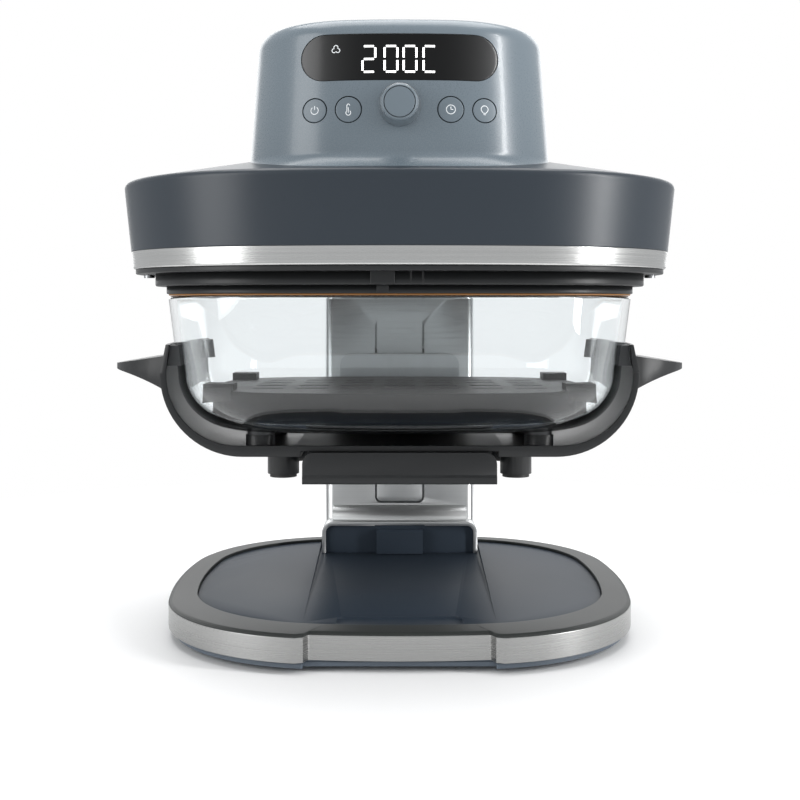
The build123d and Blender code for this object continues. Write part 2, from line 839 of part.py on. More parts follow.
# Smoked display lens, flush with the dome's face
with BuildPart() as display_lens:
    add(bowed_body(dome_form, dome_profile(seat_gap, dome_foot)))
    add(bowed_body(dome_form, dome_profile(lens_depth, dome_foot)), mode=Mode.SUBTRACT)
    add(pill(lens_half_width, lens_bottom, lens_top, front_room), mode=Mode.INTERSECT)
keep(display_lens, "display_lens")

# Display module behind the lens, on the control board
module_z = (lens_bottom + lens_top) / 2
with BuildPart() as display_module:
    module_span = (-module_half_width, module_half_width)
    module_rise = (module_z - module_half_height, module_z + module_half_height)
    add(block(module_span, (board_front - module_depth, board_front - seat_gap), module_rise))
    fillet(display_module.edges().filter_by(Axis.Y), 1.5)
keep(display_module, "display_module")

# Control board with its four key switches
with BuildPart() as control_board:
    add(block((-board_half_width, board_half_width), (board_front, board_y), (board_bottom, board_top)))
    for x, radius in buttons.values():
        add(block((x - 3, x + 3), (board_front - switch_height, board_front), (button_z - 3, button_z + 3)))
keep(control_board, "control_board")

# Encoder body that carries the dial's plunger
encoder_front = board_front - encoder_depth
plunger_radius = dial_shaft_radius + 1.2
with BuildPart() as dial_encoder:
    add(rod(0, dial_z, (encoder_front, board_front - seat_gap), encoder_radius))
    add(rod(0, dial_z, (encoder_front - 1, board_front), plunger_radius + shaft_gap), mode=Mode.SUBTRACT)
keep(dial_encoder, "dial_encoder")

# Plunger: slides in the encoder and holds the turning shaft
plunger_back = board_front - seat_gap - dial_press - 0.5
with BuildPart() as dial_plunger:
    add(rod(0, dial_z, (encoder_front - 1, plunger_back), plunger_radius))
    add(rod(0, dial_z, (encoder_front - 2, board_front), dial_shaft_radius + shaft_gap), mode=Mode.SUBTRACT)
keep(dial_plunger, "dial_plunger")

# Dial knob and its shaft
knob_back = dome_front(dial_z) - dial_gap
knob_front = knob_back - dial_height
with BuildPart() as dial_knob:
    with BuildSketch(Plane.XZ.offset(-knob_back)):
        with Locations((0, dial_z)):
            Circle(dial_base_radius)
    with BuildSketch(Plane.XZ.offset(-knob_front)):
        with Locations((0, dial_z)):
            Circle(dial_face_radius)
    loft()
    fillet(dial_knob.edges().group_by(Axis.Y)[0], dial_round)
    add(rod(0, dial_z, (knob_back - 6, knob_back + 1), dial_shaft_radius), mode=Mode.SUBTRACT)
keep(dial_knob, "dial_knob")

with BuildPart() as dial_shaft:
    add(rod(0, dial_z, (knob_back - 6, plunger_back - 0.5), dial_shaft_radius))
keep(dial_shaft, "dial_shaft")

# Round push buttons: cap cut to the dome's face, stem to its switch
for name, (x, radius) in buttons.items():
    with BuildPart() as push_button:
        cap_back = dome_front(button_z) + radius + dome_wall
        add(rod(x, button_z, (front_room[0], cap_back), radius))
        add(bowed_body(dome_form, dome_profile(0.2, dome_foot)), mode=Mode.INTERSECT)
        stem_back = board_front - switch_height - button_travel - seat_gap
        add(rod(x, button_z, (cap_back - 1, stem_back), button_stem))
    keep(push_button, name)

# Heater coil: one tube wound in half turns, its two ends rising through the pan
coil_y = glass_form.centre_y
coil_bend = 3 * coil_wire
coil_end_z = pan_top + 12.0


def rising_end(x, side):
    """Points of a tube end: level, quarter bend, then straight up."""
    swing = coil_bend * sin(radians(45))
    low = (x, coil_y, coil_z)
    middle = (x, coil_y + side * swing, coil_z + coil_bend - swing)
    high = (x, coil_y + side * coil_bend, coil_z + coil_bend)
    top = (x, coil_y + side * coil_bend, coil_end_z)
    return low, middle, high, top


coil_stops = [coil_inner]
for turn in range(coil_half_turns):
    coil_stops.append(-coil_stops[-1] - coil_pitch / 2 * (1 if coil_stops[-1] > 0 else -1))
coil_gap = coil_pitch - 2 * coil_wire
print("heater coil, least gap between turns", round(coil_gap, 2))
with BuildPart() as heater_coil:
    with BuildLine() as coil_line:
        low, middle, high, top = rising_end(coil_stops[0], -1)
        Line(top, high)
        ThreePointArc(high, middle, low)
        for turn in range(coil_half_turns):
            start_x, end_x = coil_stops[turn], coil_stops[turn + 1]
            side = 1 if turn % 2 == 0 else -1
            reach = side * abs(end_x - start_x) / 2
            ThreePointArc(
                (start_x, coil_y, coil_z),
                ((start_x + end_x) / 2, coil_y + reach, coil_z),
                (end_x, coil_y, coil_z),
            )
        low, middle, high, top = rising_end(coil_stops[-1], 1)
        ThreePointArc(low, middle, high)
        Line(high, top)
    coil_start = rising_end(coil_stops[0], -1)[3]
    with BuildSketch(Plane(origin=coil_start, z_dir=(0, 0, -1))):
        Circle(coil_wire)
    sweep(path=coil_line.line)
keep(heater_coil, "heater_coil")

# Heat shield pan over the hot air parts
pan_flange_bottom = liner_bottom + liner_wall + seat_gap


def pan_profile(shrink, bottom):
    """The pan's section: leaning side, bevelled ceiling edge."""
    return [
        (bottom, 1.0 + shrink),
        (pan_top - 6 - shrink, pan_draft - 4 + shrink),
        (pan_top - shrink, pan_draft + shrink),
    ]


with BuildPart() as heat_shield:
    add(bowed_body(glass_form, pan_profile(0, pan_flange_bottom)))
    add(bowed_ring(glass_form, (pan_flange_bottom, pan_flange_bottom + pan_wall), -pan_flange, 2.0))
    add(bowed_body(glass_form, pan_profile(pan_wall, pan_flange_bottom - 1)), mode=Mode.SUBTRACT)
    pan_holes = (pan_top - 5, pan_top + 5)
    add(post(0, coil_y, pan_holes, shaft_radius + 1.5), mode=Mode.SUBTRACT)
    for x, side in ((coil_stops[0], -1), (coil_stops[-1], 1)):
        add(post(x, coil_y + side * coil_bend, pan_holes, coil_wire + 0.6), mode=Mode.SUBTRACT)
keep(heat_shield, "heat_shield")

# Clips that hang the coil from the pan: a strap inside the turns and a hook under them
strap_reach = coil_inner - strap_inset
hook_reach = abs(coil_stops[-1]) + coil_wire
hook_top = coil_z - coil_wire - seat_gap
clip_top = pan_top - pan_wall - seat_gap
clip_span = (-clip_width / 2, clip_width / 2)
with BuildPart() as heater_clips:
    for side in (-1, 1):
        strap_y = sorted((coil_y + side * strap_reach, coil_y + side * (strap_reach + clip_wall)))
        hook_y = sorted((coil_y + side * strap_reach, coil_y + side * hook_reach))
        add(block(clip_span, strap_y, (hook_top - clip_wall, clip_top)))
        add(block(clip_span, hook_y, (hook_top - clip_wall, hook_top)))
keep(heater_clips, "heater_clips")

# Fan guard: stamped plate of arc slots over the throat
guard_bottom = pan_flange_bottom
with BuildPart() as fan_guard:
    with BuildSketch(Plane.XY.offset(guard_bottom)):
        bowed_outline(glass_form, throat_inset - guard_margin)
        with Locations((0, coil_y)):
            for ring in range(3):
                radius = guard_first_radius + guard_pitch * ring
                arc_span = 60 - degrees((guard_slot_width + guard_bridge) / radius)
                with PolarLocations(0, 6, start_angle=30 * ring):
                    SlotArc(CenterArc((0, 0), radius, 0, arc_span), guard_slot_width, mode=Mode.SUBTRACT)
    extrude(amount=guard_thickness)
keep(fan_guard, "fan_guard")

# Temperature probe through the pan's side
with BuildPart() as temperature_probe:
    with BuildSketch(Plane.YZ.offset(probe_x)):
        with Locations((probe_y, coil_z)):
            Circle(probe_radius)
    extrude(amount=glass_form.half_width - probe_x)
    pan_inside = pan_profile(pan_wall + seat_gap, pan_flange_bottom - 1)
    add(bowed_body(glass_form, pan_inside), mode=Mode.INTERSECT)
keep(temperature_probe, "temperature_probe")

# Oven lamp lens let into the pan's ceiling
with BuildPart() as lamp_lens:
    add(post(lamp_x, lamp_y, (clip_top - 3.0, clip_top), lamp_radius))
    fillet(lamp_lens.edges().group_by(Axis.Z)[0], 1.5)
keep(lamp_lens, "lamp_lens")

# Motor and its bracket above the pan
with BuildPart() as motor:
    add(post(0, coil_y, (motor_bottom, motor_top), motor_radius))
    fillet(motor.edges().group_by(Axis.Z)[-1], 4.0)
    add(post(0, coil_y, (motor_bottom - 3, motor_top + 2), hub_radius))
    add(post(0, coil_y, (motor_bottom - 4, motor_top + 3), shaft_radius + shaft_gap), mode=Mode.SUBTRACT)
keep(motor, "motor")

with BuildPart() as motor_bracket:
    with BuildSketch(Plane.XY.offset(motor_bottom - seat_gap)):
        with Locations((0, coil_y)):
            RectangleRounded(2 * bracket_reach, 2 * motor_radius, 6.0)
            Circle(hub_radius + 1, mode=Mode.SUBTRACT)
    extrude(amount=-bracket_plate)
    for side in (-1, 1):
        foot_x = sorted((side * bracket_reach, side * (bracket_reach - bracket_plate)))
        tab_x = sorted((side * bracket_reach, side * (bracket_reach + 12)))
        bracket_y = (coil_y - 12, coil_y + 12)
        add(block(foot_x, bracket_y, (pan_top + seat_gap, motor_bottom - 1)))
        add(block(tab_x, bracket_y, (pan_top + seat_gap, pan_top + seat_gap + bracket_plate)))
keep(motor_bracket, "motor_bracket")

# Fan set: shaft, hot air fan below the pan, cooling fan above the motor, nut
with BuildPart() as fan_shaft:
    add(post(0, coil_y, (shaft_bottom, shaft_top), shaft_radius))
    chamfer(fan_shaft.edges().group_by(Axis.Z)[-1], 0.8)
keep(fan_shaft, "fan_shaft")

with BuildPart() as hot_fan:
    plate_z = fan_bottom + fan_height - fan_plate
    add(post(0, coil_y, (plate_z, fan_bottom + fan_height), fan_radius))
    add(post(0, coil_y, (fan_bottom, fan_bottom + fan_height), hub_radius))
    with BuildSketch(Plane.XY.offset(fan_bottom)):
        with Locations((0, coil_y)):
            with PolarLocations(0, fan_blades):
                with BuildSketch(mode=Mode.PRIVATE) as blade:
                    with BuildLine() as spine:
                        ThreePointArc((hub_radius + 12, 0), (40, 7), (fan_radius - 5, 20))
                    trace(line_width=blade_thickness)
                add(blade.sketch)
    extrude(amount=fan_height - fan_plate)
    add(post(0, coil_y, (fan_bottom - 1, fan_bottom + fan_height + 1), shaft_radius + shaft_gap), mode=Mode.SUBTRACT)
keep(hot_fan, "hot_fan")

with BuildPart() as cooling_fan:
    add(post(0, coil_y, (cooler_bottom, cooler_bottom + cooler_height), hub_radius))
    with BuildSketch(Plane.XY.offset(cooler_bottom + 1)):
        with Locations((0, coil_y)):
            with PolarLocations(0, cooler_blades):
                with BuildSketch(mode=Mode.PRIVATE) as paddle:
                    with Locations(((hub_radius + cooler_radius) / 2 - 1, 0)):
                        Rectangle(cooler_radius - hub_radius + 2, blade_thickness)
                add(paddle.sketch)
    extrude(amount=cooler_height - 2)
    add(post(0, coil_y, (cooler_bottom, cooler_bottom + 1), cooler_radius))
    add(post(0, coil_y, (cooler_bottom - 1, shaft_top), shaft_radius + shaft_gap), mode=Mode.SUBTRACT)
keep(cooling_fan, "cooling_fan")

with BuildPart() as fan_nut:
    with BuildSketch(Plane.XY.offset(fan_bottom - seat_gap)):
        with Locations((0, coil_y)):
            RegularPolygon(7.0, 6)
            Circle(shaft_radius + shaft_gap, mode=Mode.SUBTRACT)
    extrude(amount=-5.0)
keep(fan_nut, "fan_nut")

# Glass container: open bowl with leaning sides and rounded foot
def bowl_profile(wall):
    """The bowl's section, drawn in by the wall, from rim to floor."""
    turn_height = glass_bottom + glass_corner
    points = [(glass_rim + (wall > 0), wall), (turn_height, glass_draft + wall)]
    for step in range(1, 7):
        turn = radians(15 * step)
        radius = glass_corner - wall
        points.append((turn_height - radius * sin(turn), glass_draft + wall + radius * (1 - cos(turn))))
    return points[::-1]


with BuildPart() as glass_container:
    add(bowed_body(glass_form, bowl_profile(0)))
    add(bowed_body(glass_form, bowl_profile(glass_wall)), mode=Mode.SUBTRACT)
keep(glass_container, "glass_container")

# Cradle: a bowed carrier under the container with side wings and feet
cradle_ends = (glass_form.centre_y - cradle_half_depth, glass_form.centre_y + cradle_half_depth)


def cradle_view(half_width, side_wall=0.0, foot_wall=0.0, open_top=0.0):
    """The carrier's front view: leaning arms on a rounded foot."""
    wide = half_width - side_wall
    with BuildSketch(mode=Mode.PRIVATE) as view:
        with BuildLine():
            Polyline(
                (-wide + cradle_lean, cradle_top + open_top),
                (-wide, cradle_knee),
                (-wide, cradle_bottom + foot_wall),
                (wide, cradle_bottom + foot_wall),
                (wide, cradle_knee),
                (wide - cradle_lean, cradle_top + open_top),
                close=True,
            )
        make_face()
        fillet(view.vertices().group_by(Axis.Y)[0], cradle_corner - foot_wall)
    return view.sketch


def cradle_body(wall, open_top, overrun):
    """The carrier's outer or inner form, through its end and middle views."""
    stations = [
        (cradle_ends[0] - overrun, cradle_end_half),
        (glass_form.centre_y, cradle_middle_half),
        (cradle_ends[1] + overrun, cradle_end_half),
    ]
    with BuildPart(mode=Mode.PRIVATE) as body:
        for y, half_width in stations:
            with BuildSketch(Plane.XZ.offset(-y)):
                add(cradle_view(half_width, wall, wall, open_top))
        loft()
    return body.part


def wing():
    """One side handle: a tapering blade with a crescent plan."""
    with BuildPart(mode=Mode.PRIVATE) as blade:
        with BuildSketch(Plane.XZ.offset(-glass_form.centre_y)):
            with BuildLine():
                tip_top = (wing_tip_x, wing_tip_z + wing_tip_half)
                tip_bottom = (wing_tip_x, wing_tip_z - wing_tip_half)
                root_top = (wing_root_x, wing_root_top)
                root_bottom = (wing_root_x, wing_root_bottom)
                Line(root_bottom, root_top)
                Line(root_top, tip_top)
                Line(tip_top, tip_bottom)
                ThreePointArc(
                    tip_bottom,
                    ((wing_tip_x + wing_root_x) / 2, (tip_bottom[1] + root_bottom[1]) / 2 + 2.4),
                    root_bottom,
                )
            make_face()
        extrude(amount=wing_half_depth, both=True)
        with BuildSketch(Plane.XY.offset(wing_root_bottom - 1)):
            with BuildLine():
                back = (wing_root_x, glass_form.centre_y + wing_half_depth)
                front = (wing_root_x, glass_form.centre_y - wing_half_depth)
                ThreePointArc(front, (wing_tip_x, glass_form.centre_y), back)
                Line(back, front)
            make_face()
        extrude(amount=wing_root_top - wing_root_bottom + 2, mode=Mode.INTERSECT)
    return blade.part


channel_roof = platform_top + running_gap
foot_places = mirror_spots(cradle_foot_x, cradle_foot_y, glass_form.centre_y)
support_places = mirror_spots(support_x, support_y, glass_form.centre_y)
pad_seat = glass_bottom - seat_gap - glass_pad_height
floor_top = cradle_bottom + cradle_wall
with BuildPart() as cradle:
    right_wing = wing()
    add(right_wing)
    add(mirror(right_wing, about=Plane.YZ, mode=Mode.PRIVATE))
    add(cradle_body(0, 0, 0))
    add(cradle_body(cradle_wall, 10.0, 1.0), mode=Mode.SUBTRACT)
    for y in (cradle_ends[0], cradle_ends[1] - flange_width):
        with BuildSketch(Plane.XZ.offset(-y)):
            add(cradle_view(cradle_end_half))
            add(cradle_view(cradle_end_half, cradle_wall, cradle_flange, 10.0), mode=Mode.SUBTRACT)
        extrude(amount=-flange_width)
    channel_web = channel_half_width + channel_wall
    add(block((-channel_web, channel_web), cradle_ends, (cradle_bottom, channel_roof + channel_wall)))
    cut_depths = (cradle_ends[0] - 1, cradle_ends[1] + 1)
    channel_cut = block((-channel_half_width, channel_half_width), cut_depths, (cradle_bottom - 1, channel_roof))
    add(channel_cut, mode=Mode.SUBTRACT)
    for spot in foot_places:
        add(post(*spot, (cradle_foot_bottom, floor_top), cradle_foot_radius))
    for spot in support_places:
        add(post(*spot, (cradle_bottom + 1, pad_seat), support_radius))
keep(cradle, "cradle")

# Rubber tips of the cradle's feet
with BuildPart() as foot_tips:
    for spot in foot_places:
        add(post(*spot, (cradle_foot_bottom - tip_height, cradle_foot_bottom), cradle_foot_radius - tip_inset))
keep(foot_tips, "foot_tips")

# Silicone pads under the glass
with BuildPart() as glass_pads:
    for spot in support_places:
        add(post(*spot, (pad_seat, pad_seat + glass_pad_height), support_radius - 1))
keep(glass_pads, "glass_pads")

# Grey pads between the cradle's ears and the glass
with BuildPart() as ear_pads:
    ear_half = cradle_middle_half - cradle_wall
    flange_room = flange_width + seat_gap
    for y in (cradle_ends[0] + flange_room, cradle_ends[1] - flange_room - ear_pad_depth):
        for x_range in ((-ear_half, ear_pad_reach - ear_half), (ear_half - ear_pad_reach, ear_half)):
            add(block(x_range, (y, y + ear_pad_depth), (ear_pad_bottom, cradle_top - 0.5)))
    add(cradle_body(cradle_wall + seat_gap / 2, 10.0, 1.0), mode=Mode.INTERSECT)
    glass_room = [(z, inset - seat_gap) for z, inset in bowl_profile(0)]
    add(bowed_body(glass_form, glass_room), mode=Mode.SUBTRACT)
keep(ear_pads, "ear_pads")

# Crisper plate: slotted sheet with a turned-down skirt
leg_spots = mirror_spots(bumper_x - bumper_leg_inset, bumper_y, glass_form.centre_y)
with BuildPart() as crisper_plate:
    plate_under = plate_top - plate_thickness
    with BuildSketch(Plane.XY.offset(plate_under)):
        bowed_outline(glass_form, plate_inset)
    extrude(amount=plate_thickness)
    add(bowed_ring(glass_form, (plate_under - plate_skirt, plate_under), plate_inset, plate_inset + plate_thickness))
    with BuildSketch(Plane.XY.offset(plate_under)):
        with Locations((0, glass_form.centre_y)):
            with GridLocations(slot_pitch_x, slot_pitch_y, slot_columns, slot_rows):
                SlotOverall(slot_length, slot_width)
    extrude(amount=plate_thickness, mode=Mode.SUBTRACT)
    for spot in leg_spots:
        add(post(*spot, (plate_under - 1, plate_top + 1), stud_radius), mode=Mode.SUBTRACT)
keep(crisper_plate, "crisper_plate")

# Silicone corner bumpers on which the plate stands
bumper_spots = mirror_spots(bumper_x, bumper_y, glass_form.centre_y)
glass_floor = glass_bottom + glass_wall
with BuildPart() as plate_bumpers:
    for x, y in bumper_spots:
        half = bumper_size / 2
        add(block((x - half, x + half), (y - half, y + half), (bumper_bottom, bumper_top)))
    for spot in leg_spots:
        add(post(*spot, (glass_floor + running_gap, plate_top), bumper_leg_radius))
    add(crisper_plate.part, mode=Mode.SUBTRACT)
    add(bowed_body(glass_form, bowl_profile(glass_wall + running_gap)), mode=Mode.INTERSECT)
keep(plate_bumpers, "plate_bumpers")

# Lift platform: ribbed wedge that nests in the deck's ramp
platform_front_z = platform_top - platform_front_depth
platform_back_z = platform_top - platform_back_depth
with BuildPart() as lift_platform:
    wedge = [
        (platform_front, platform_front_z),
        (platform_back, platform_back_z),
        (platform_back, platform_top),
        (platform_front, platform_top),
    ]
    add(side_profile(wedge, platform_half_width))
    hollow = [
        (platform_front + platform_wall, platform_front_z - 5),
        (platform_back - platform_wall, platform_back_z - 5),
        (platform_back - platform_wall, platform_top - platform_wall),
        (platform_front + platform_wall, platform_top - platform_wall),
    ]
    add(side_profile(hollow, platform_half_width - platform_wall), mode=Mode.SUBTRACT)
    for x in (-pad_strip_x / 2, pad_strip_x / 2):
        rib = block((x - 1, x + 1), (platform_front + 1, platform_back - 1), (platform_back_z, platform_top - 1))
        add(rib)
    below = [
        (platform_front, platform_front_z),
        (platform_back, platform_back_z),
        (platform_back, platform_back_z - 30),
        (platform_front, platform_back_z - 30),
    ]
    add(side_profile(below, platform_half_width + 1), mode=Mode.SUBTRACT)
    for x in (-pad_strip_x, pad_strip_x):
        strip = (x - pad_strip_half_width - seat_gap, x + pad_strip_half_width + seat_gap)
        strip_depths = (cradle_ends[0] + 6 - seat_gap, cradle_ends[1] - 6 + seat_gap)
        add(block(strip, strip_depths, (platform_top - pad_strip_height, platform_top + 1)), mode=Mode.SUBTRACT)
    for x in (-lift_screw_x, lift_screw_x):
        add(post(x, lift_screw_y, (platform_top - lift_screw_length, platform_top), boss_radius))
        bore = (platform_top - lift_screw_length, platform_top + 1)
        add(post(x, lift_screw_y, bore, screw_radius + seat_gap), mode=Mode.SUBTRACT)
keep(lift_platform, "lift_platform")

# Rubber strips let into the platform's top
with BuildPart() as platform_pads:
    for x in (-pad_strip_x, pad_strip_x):
        strip = (x - pad_strip_half_width, x + pad_strip_half_width)
        strip_depths = (cradle_ends[0] + 6, cradle_ends[1] - 6)
        add(block(strip, strip_depths, (platform_top - pad_strip_height, channel_roof - seat_gap)))
keep(platform_pads, "platform_pads")

# Front lip of the platform with its bead
with BuildPart() as lift_lip:
    lip_front = platform_front - seat_gap - lip_thickness
    lip_back = platform_front - seat_gap
    lip_side = [
        (lip_back, lip_bottom),
        (lip_front, lip_bottom),
        (lip_front - lip_bead, lip_bottom + 0.6),
        (lip_front - lip_bead, lip_bottom + bead_height),
        (lip_front, lip_bottom + bead_height + 1.4),
        (lip_front, platform_top),
        (lip_back, platform_top),
    ]
    add(side_profile(lip_side, lip_half_width))
    lip_corners = lift_lip.edges().filter_by(Axis.Y).group_by(Axis.Z)[-1]
    fillet(lip_corners, lip_corner)
keep(lift_lip, "lift_lip")

# Steel lift bracket: foot on the platform, sloping web, upright plate and two cheeks through the slit
with BuildPart() as lift_bracket:
    foot_bottom = platform_top + seat_gap
    foot_top = foot_bottom + lift_plate
    plate_back = lift_plate_front + lift_plate
    web_step = 0.4 * lift_plate
    bracket_side = [
        (bracket_foot_front, foot_bottom),
        (platform_back, foot_bottom),
        (plate_back, lift_plate_bend),
        (plate_back, lift_plate_top),
        (lift_plate_front, lift_plate_top),
        (lift_plate_front, lift_plate_bend + web_step),
        (platform_back - web_step, foot_top),
        (bracket_foot_front, foot_top),
    ]
    add(side_profile(bracket_side, lift_plate_half))
    fillet(lift_bracket.edges().filter_by(Axis.Y).group_by(Axis.Z)[-1], 8.0)
    stiffener_inside = lift_plate_half - lift_plate
    for x_range in ((-lift_plate_half, -stiffener_inside), (stiffener_inside, lift_plate_half)):
        add(block(x_range, (lift_plate_front, plate_back + stiffener_depth), (lift_plate_bend, stiffener_top)))
    neck_back = shoe_back - 2.0
    cheek_out = slot_half_width - running_gap
    cheek_in = cheek_out - cheek_wall
    for x_range in ((-cheek_out, -cheek_in), (cheek_in, cheek_out)):
        add(block(x_range, (lift_plate_front, neck_back), (neck_bottom, lift_plate_top)))
    for x in (-lift_screw_x, lift_screw_x):
        bore = (foot_bottom - 1, foot_top + 1)
        add(post(x, lift_screw_y, bore, screw_radius + seat_gap), mode=Mode.SUBTRACT)
keep(lift_bracket, "lift_bracket")

# Slide shoe round the cheeks' ends
with BuildPart() as slide_shoe:
    shoe_range = (neck_bottom - shoe_margin, lift_plate_top + shoe_margin)
    add(block((-shoe_half_width, shoe_half_width), (shoe_front, shoe_back), shoe_range))
    add(lift_bracket.part, mode=Mode.SUBTRACT)
keep(slide_shoe, "slide_shoe")

# Low-friction pads between the shoe and the column's face
with BuildPart() as shoe_pads:
    pad_front = column_front + column_wall + running_gap
    pad_edge = slot_half_width + 0.6
    for x_range in ((-shoe_half_width, -pad_edge), (pad_edge, shoe_half_width)):
        add(block(x_range, (pad_front, shoe_front), shoe_range))
keep(shoe_pads, "shoe_pads")

# Screws that hold the bracket to the platform
with BuildPart() as lift_screws:
    screw_top = foot_top + seat_gap + screw_head_height
    for x in (-lift_screw_x, lift_screw_x):
        add(upright_screw(x, lift_screw_y, screw_top, lift_screw_length, -1))
keep(lift_screws, "lift_screws")
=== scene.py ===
import json

import bpy
import numpy as np
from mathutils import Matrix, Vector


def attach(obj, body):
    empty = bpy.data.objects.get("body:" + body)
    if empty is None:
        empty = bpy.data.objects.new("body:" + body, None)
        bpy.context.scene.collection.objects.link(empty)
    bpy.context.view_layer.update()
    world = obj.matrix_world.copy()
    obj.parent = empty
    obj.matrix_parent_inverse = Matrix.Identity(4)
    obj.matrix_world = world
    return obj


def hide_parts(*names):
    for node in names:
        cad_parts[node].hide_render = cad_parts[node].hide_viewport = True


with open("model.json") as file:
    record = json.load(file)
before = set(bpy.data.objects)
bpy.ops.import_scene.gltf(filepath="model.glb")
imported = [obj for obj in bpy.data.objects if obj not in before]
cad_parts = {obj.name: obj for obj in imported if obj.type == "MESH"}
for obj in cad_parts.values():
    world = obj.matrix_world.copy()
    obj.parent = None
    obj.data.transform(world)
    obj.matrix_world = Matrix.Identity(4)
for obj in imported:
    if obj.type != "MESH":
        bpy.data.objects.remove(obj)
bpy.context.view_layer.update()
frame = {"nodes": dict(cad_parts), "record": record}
scene = bpy.context.scene
mm = 0.001
print("frame loaded:", len(frame["nodes"]), "nodes")


# shader arithmetic
def plug(tree, value, socket):
    if isinstance(value, Wire):
        tree.links.new(value.socket, socket)
    else:
        socket.default_value = value


def calculate(tree, operation, *values):
    made = tree.nodes.new("ShaderNodeMath")
    made.operation = operation
    for socket, value in zip(made.inputs, values):
        plug(tree, value, socket)
    return Wire(tree, made.outputs[0])


class Wire:  # a shader socket that takes part in plain arithmetic
    def __init__(self, tree, socket):
        self.tree = tree
        self.socket = socket

    def __add__(self, other):
        return calculate(self.tree, "ADD", self, other)

    def __radd__(self, other):
        return calculate(self.tree, "ADD", other, self)

    def __sub__(self, other):
        return calculate(self.tree, "SUBTRACT", self, other)

    def __rsub__(self, other):
        return calculate(self.tree, "SUBTRACT", other, self)

    def __mul__(self, other):
        return calculate(self.tree, "MULTIPLY", self, other)

    def __rmul__(self, other):
        return calculate(self.tree, "MULTIPLY", other, self)

    def __truediv__(self, other):
        return calculate(self.tree, "DIVIDE", self, other)

    def __pow__(self, other):
        return calculate(self.tree, "POWER", self, other)

    def __abs__(self):
        return calculate(self.tree, "ABSOLUTE", self)

    def clamp(self, low=0.0, high=1.0):
        return calculate(self.tree, "MAXIMUM", calculate(self.tree, "MINIMUM", self, high), low)


class Finish:  # one material and its node tree
    def __init__(self, name):
        self.material = bpy.data.materials.new(name)
        self.material.use_nodes = True
        self.tree = self.material.node_tree
        self.shader = self.tree.nodes["Principled BSDF"]
        self.here = self.node("ShaderNodeTexCoord", {}, {}, "Object")

    def node(self, kind, settings, inputs, output=0):
        made = self.tree.nodes.new(kind)
        for key, value in settings.items():
            setattr(made, key, value)
        for key, value in inputs.items():
            plug(self.tree, value, made.inputs[key])
        return Wire(self.tree, made.outputs[output])

    def stretched(self, scale):
        return self.node("ShaderNodeMapping", {}, {"Vector": self.here, "Scale": scale})

    def noise(self, scale, detail=3.0, rough=0.55):
        inputs = {"Vector": self.stretched(scale), "Scale": 1.0}
        inputs.update({"Detail": detail, "Roughness": rough})
        return self.node("ShaderNodeTexNoise", {}, inputs)

    def axis(self, letter):
        return self.node("ShaderNodeSeparateXYZ", {}, {"Vector": self.here}, letter)

    def blend(self, amount, low, high):
        return self.node("ShaderNodeMix", {"data_type": "RGBA"}, {0: amount, 6: low, 7: high}, 2)

    def bump(self, height, distance, strength=1.0):
        inputs = {"Height": height, "Distance": distance, "Strength": strength}
        return self.node("ShaderNodeBump", {}, inputs)

    def set(self, **values):
        for key, value in values.items():
            plug(self.tree, value, self.shader.inputs[key.replace("_", " ")])
        return self


def shade(colour, factor):
    # colour times the factor, no part over 1, with alpha 1
    return (*[min(1.0, part * factor) for part in colour], 1.0)


# each finish: base colour and roughness swing with noise, and fine noise gives the bump
def plastic(name, colour, rough=0.4, grain=0.00003, coat=0.0, swing=0.05, gloss=0.5):
    made = Finish(name)
    cloud = made.noise((9, 9, 9), 2.0)
    fine = made.noise((1500, 1500, 1500), 2.0)
    made.set(Base_Color=made.blend(cloud, shade(colour, 1 - swing), shade(colour, 1 + swing)))
    made.set(Roughness=rough + (fine - 0.5) * 0.10 + (cloud - 0.5) * 0.08)
    made.set(Normal=made.bump(fine, grain))
    made.shader.inputs["Specular IOR Level"].default_value = gloss
    made.shader.inputs["Coat Weight"].default_value = coat
    made.shader.inputs["Coat Roughness"].default_value = 0.08
    return made.material


def brushed(name, tint, rough=0.26, lines=(4, 4, 2600), depth=0.000022):
    made = Finish(name)
    streak = made.noise(lines, 4.0, 0.7)
    broad = made.noise(tuple(part * 0.12 for part in lines), 2.0)
    mixed = streak * 0.7 + broad * 0.3
    made.set(Base_Color=made.blend(mixed, shade(tint, 0.80), shade(tint, 1.12)))
    made.set(Roughness=rough + (streak - 0.5) * 0.22)
    made.set(Normal=made.bump(streak, depth))
    made.shader.inputs["Metallic"].default_value = 1.0
    return made.material


def sheetMetal(name, tint, rough=0.4):
    made = Finish(name)
    cloud = made.noise((60, 60, 60), 4.0)
    speck = made.noise((700, 700, 700), 2.0)
    made.set(Base_Color=made.blend(cloud, shade(tint, 0.82), shade(tint, 1.1)))
    made.set(Roughness=rough + (cloud - 0.5) * 0.2 + (speck - 0.5) * 0.1)
    made.set(Normal=made.bump(speck, 0.00002))
    made.shader.inputs["Metallic"].default_value = 1.0
    return made.material


def clearGlass(name, tint):
    made = Finish(name)
    smear = made.noise((14, 14, 22), 2.0)
    made.set(Base_Color=made.blend(smear, shade(tint, 0.985), shade(tint, 1.0)))
    made.set(Roughness=(smear * 0.02).clamp(0.0, 0.02))
    made.shader.inputs["Transmission Weight"].default_value = 1.0
    made.shader.inputs["IOR"].default_value = 1.47
    return made.material


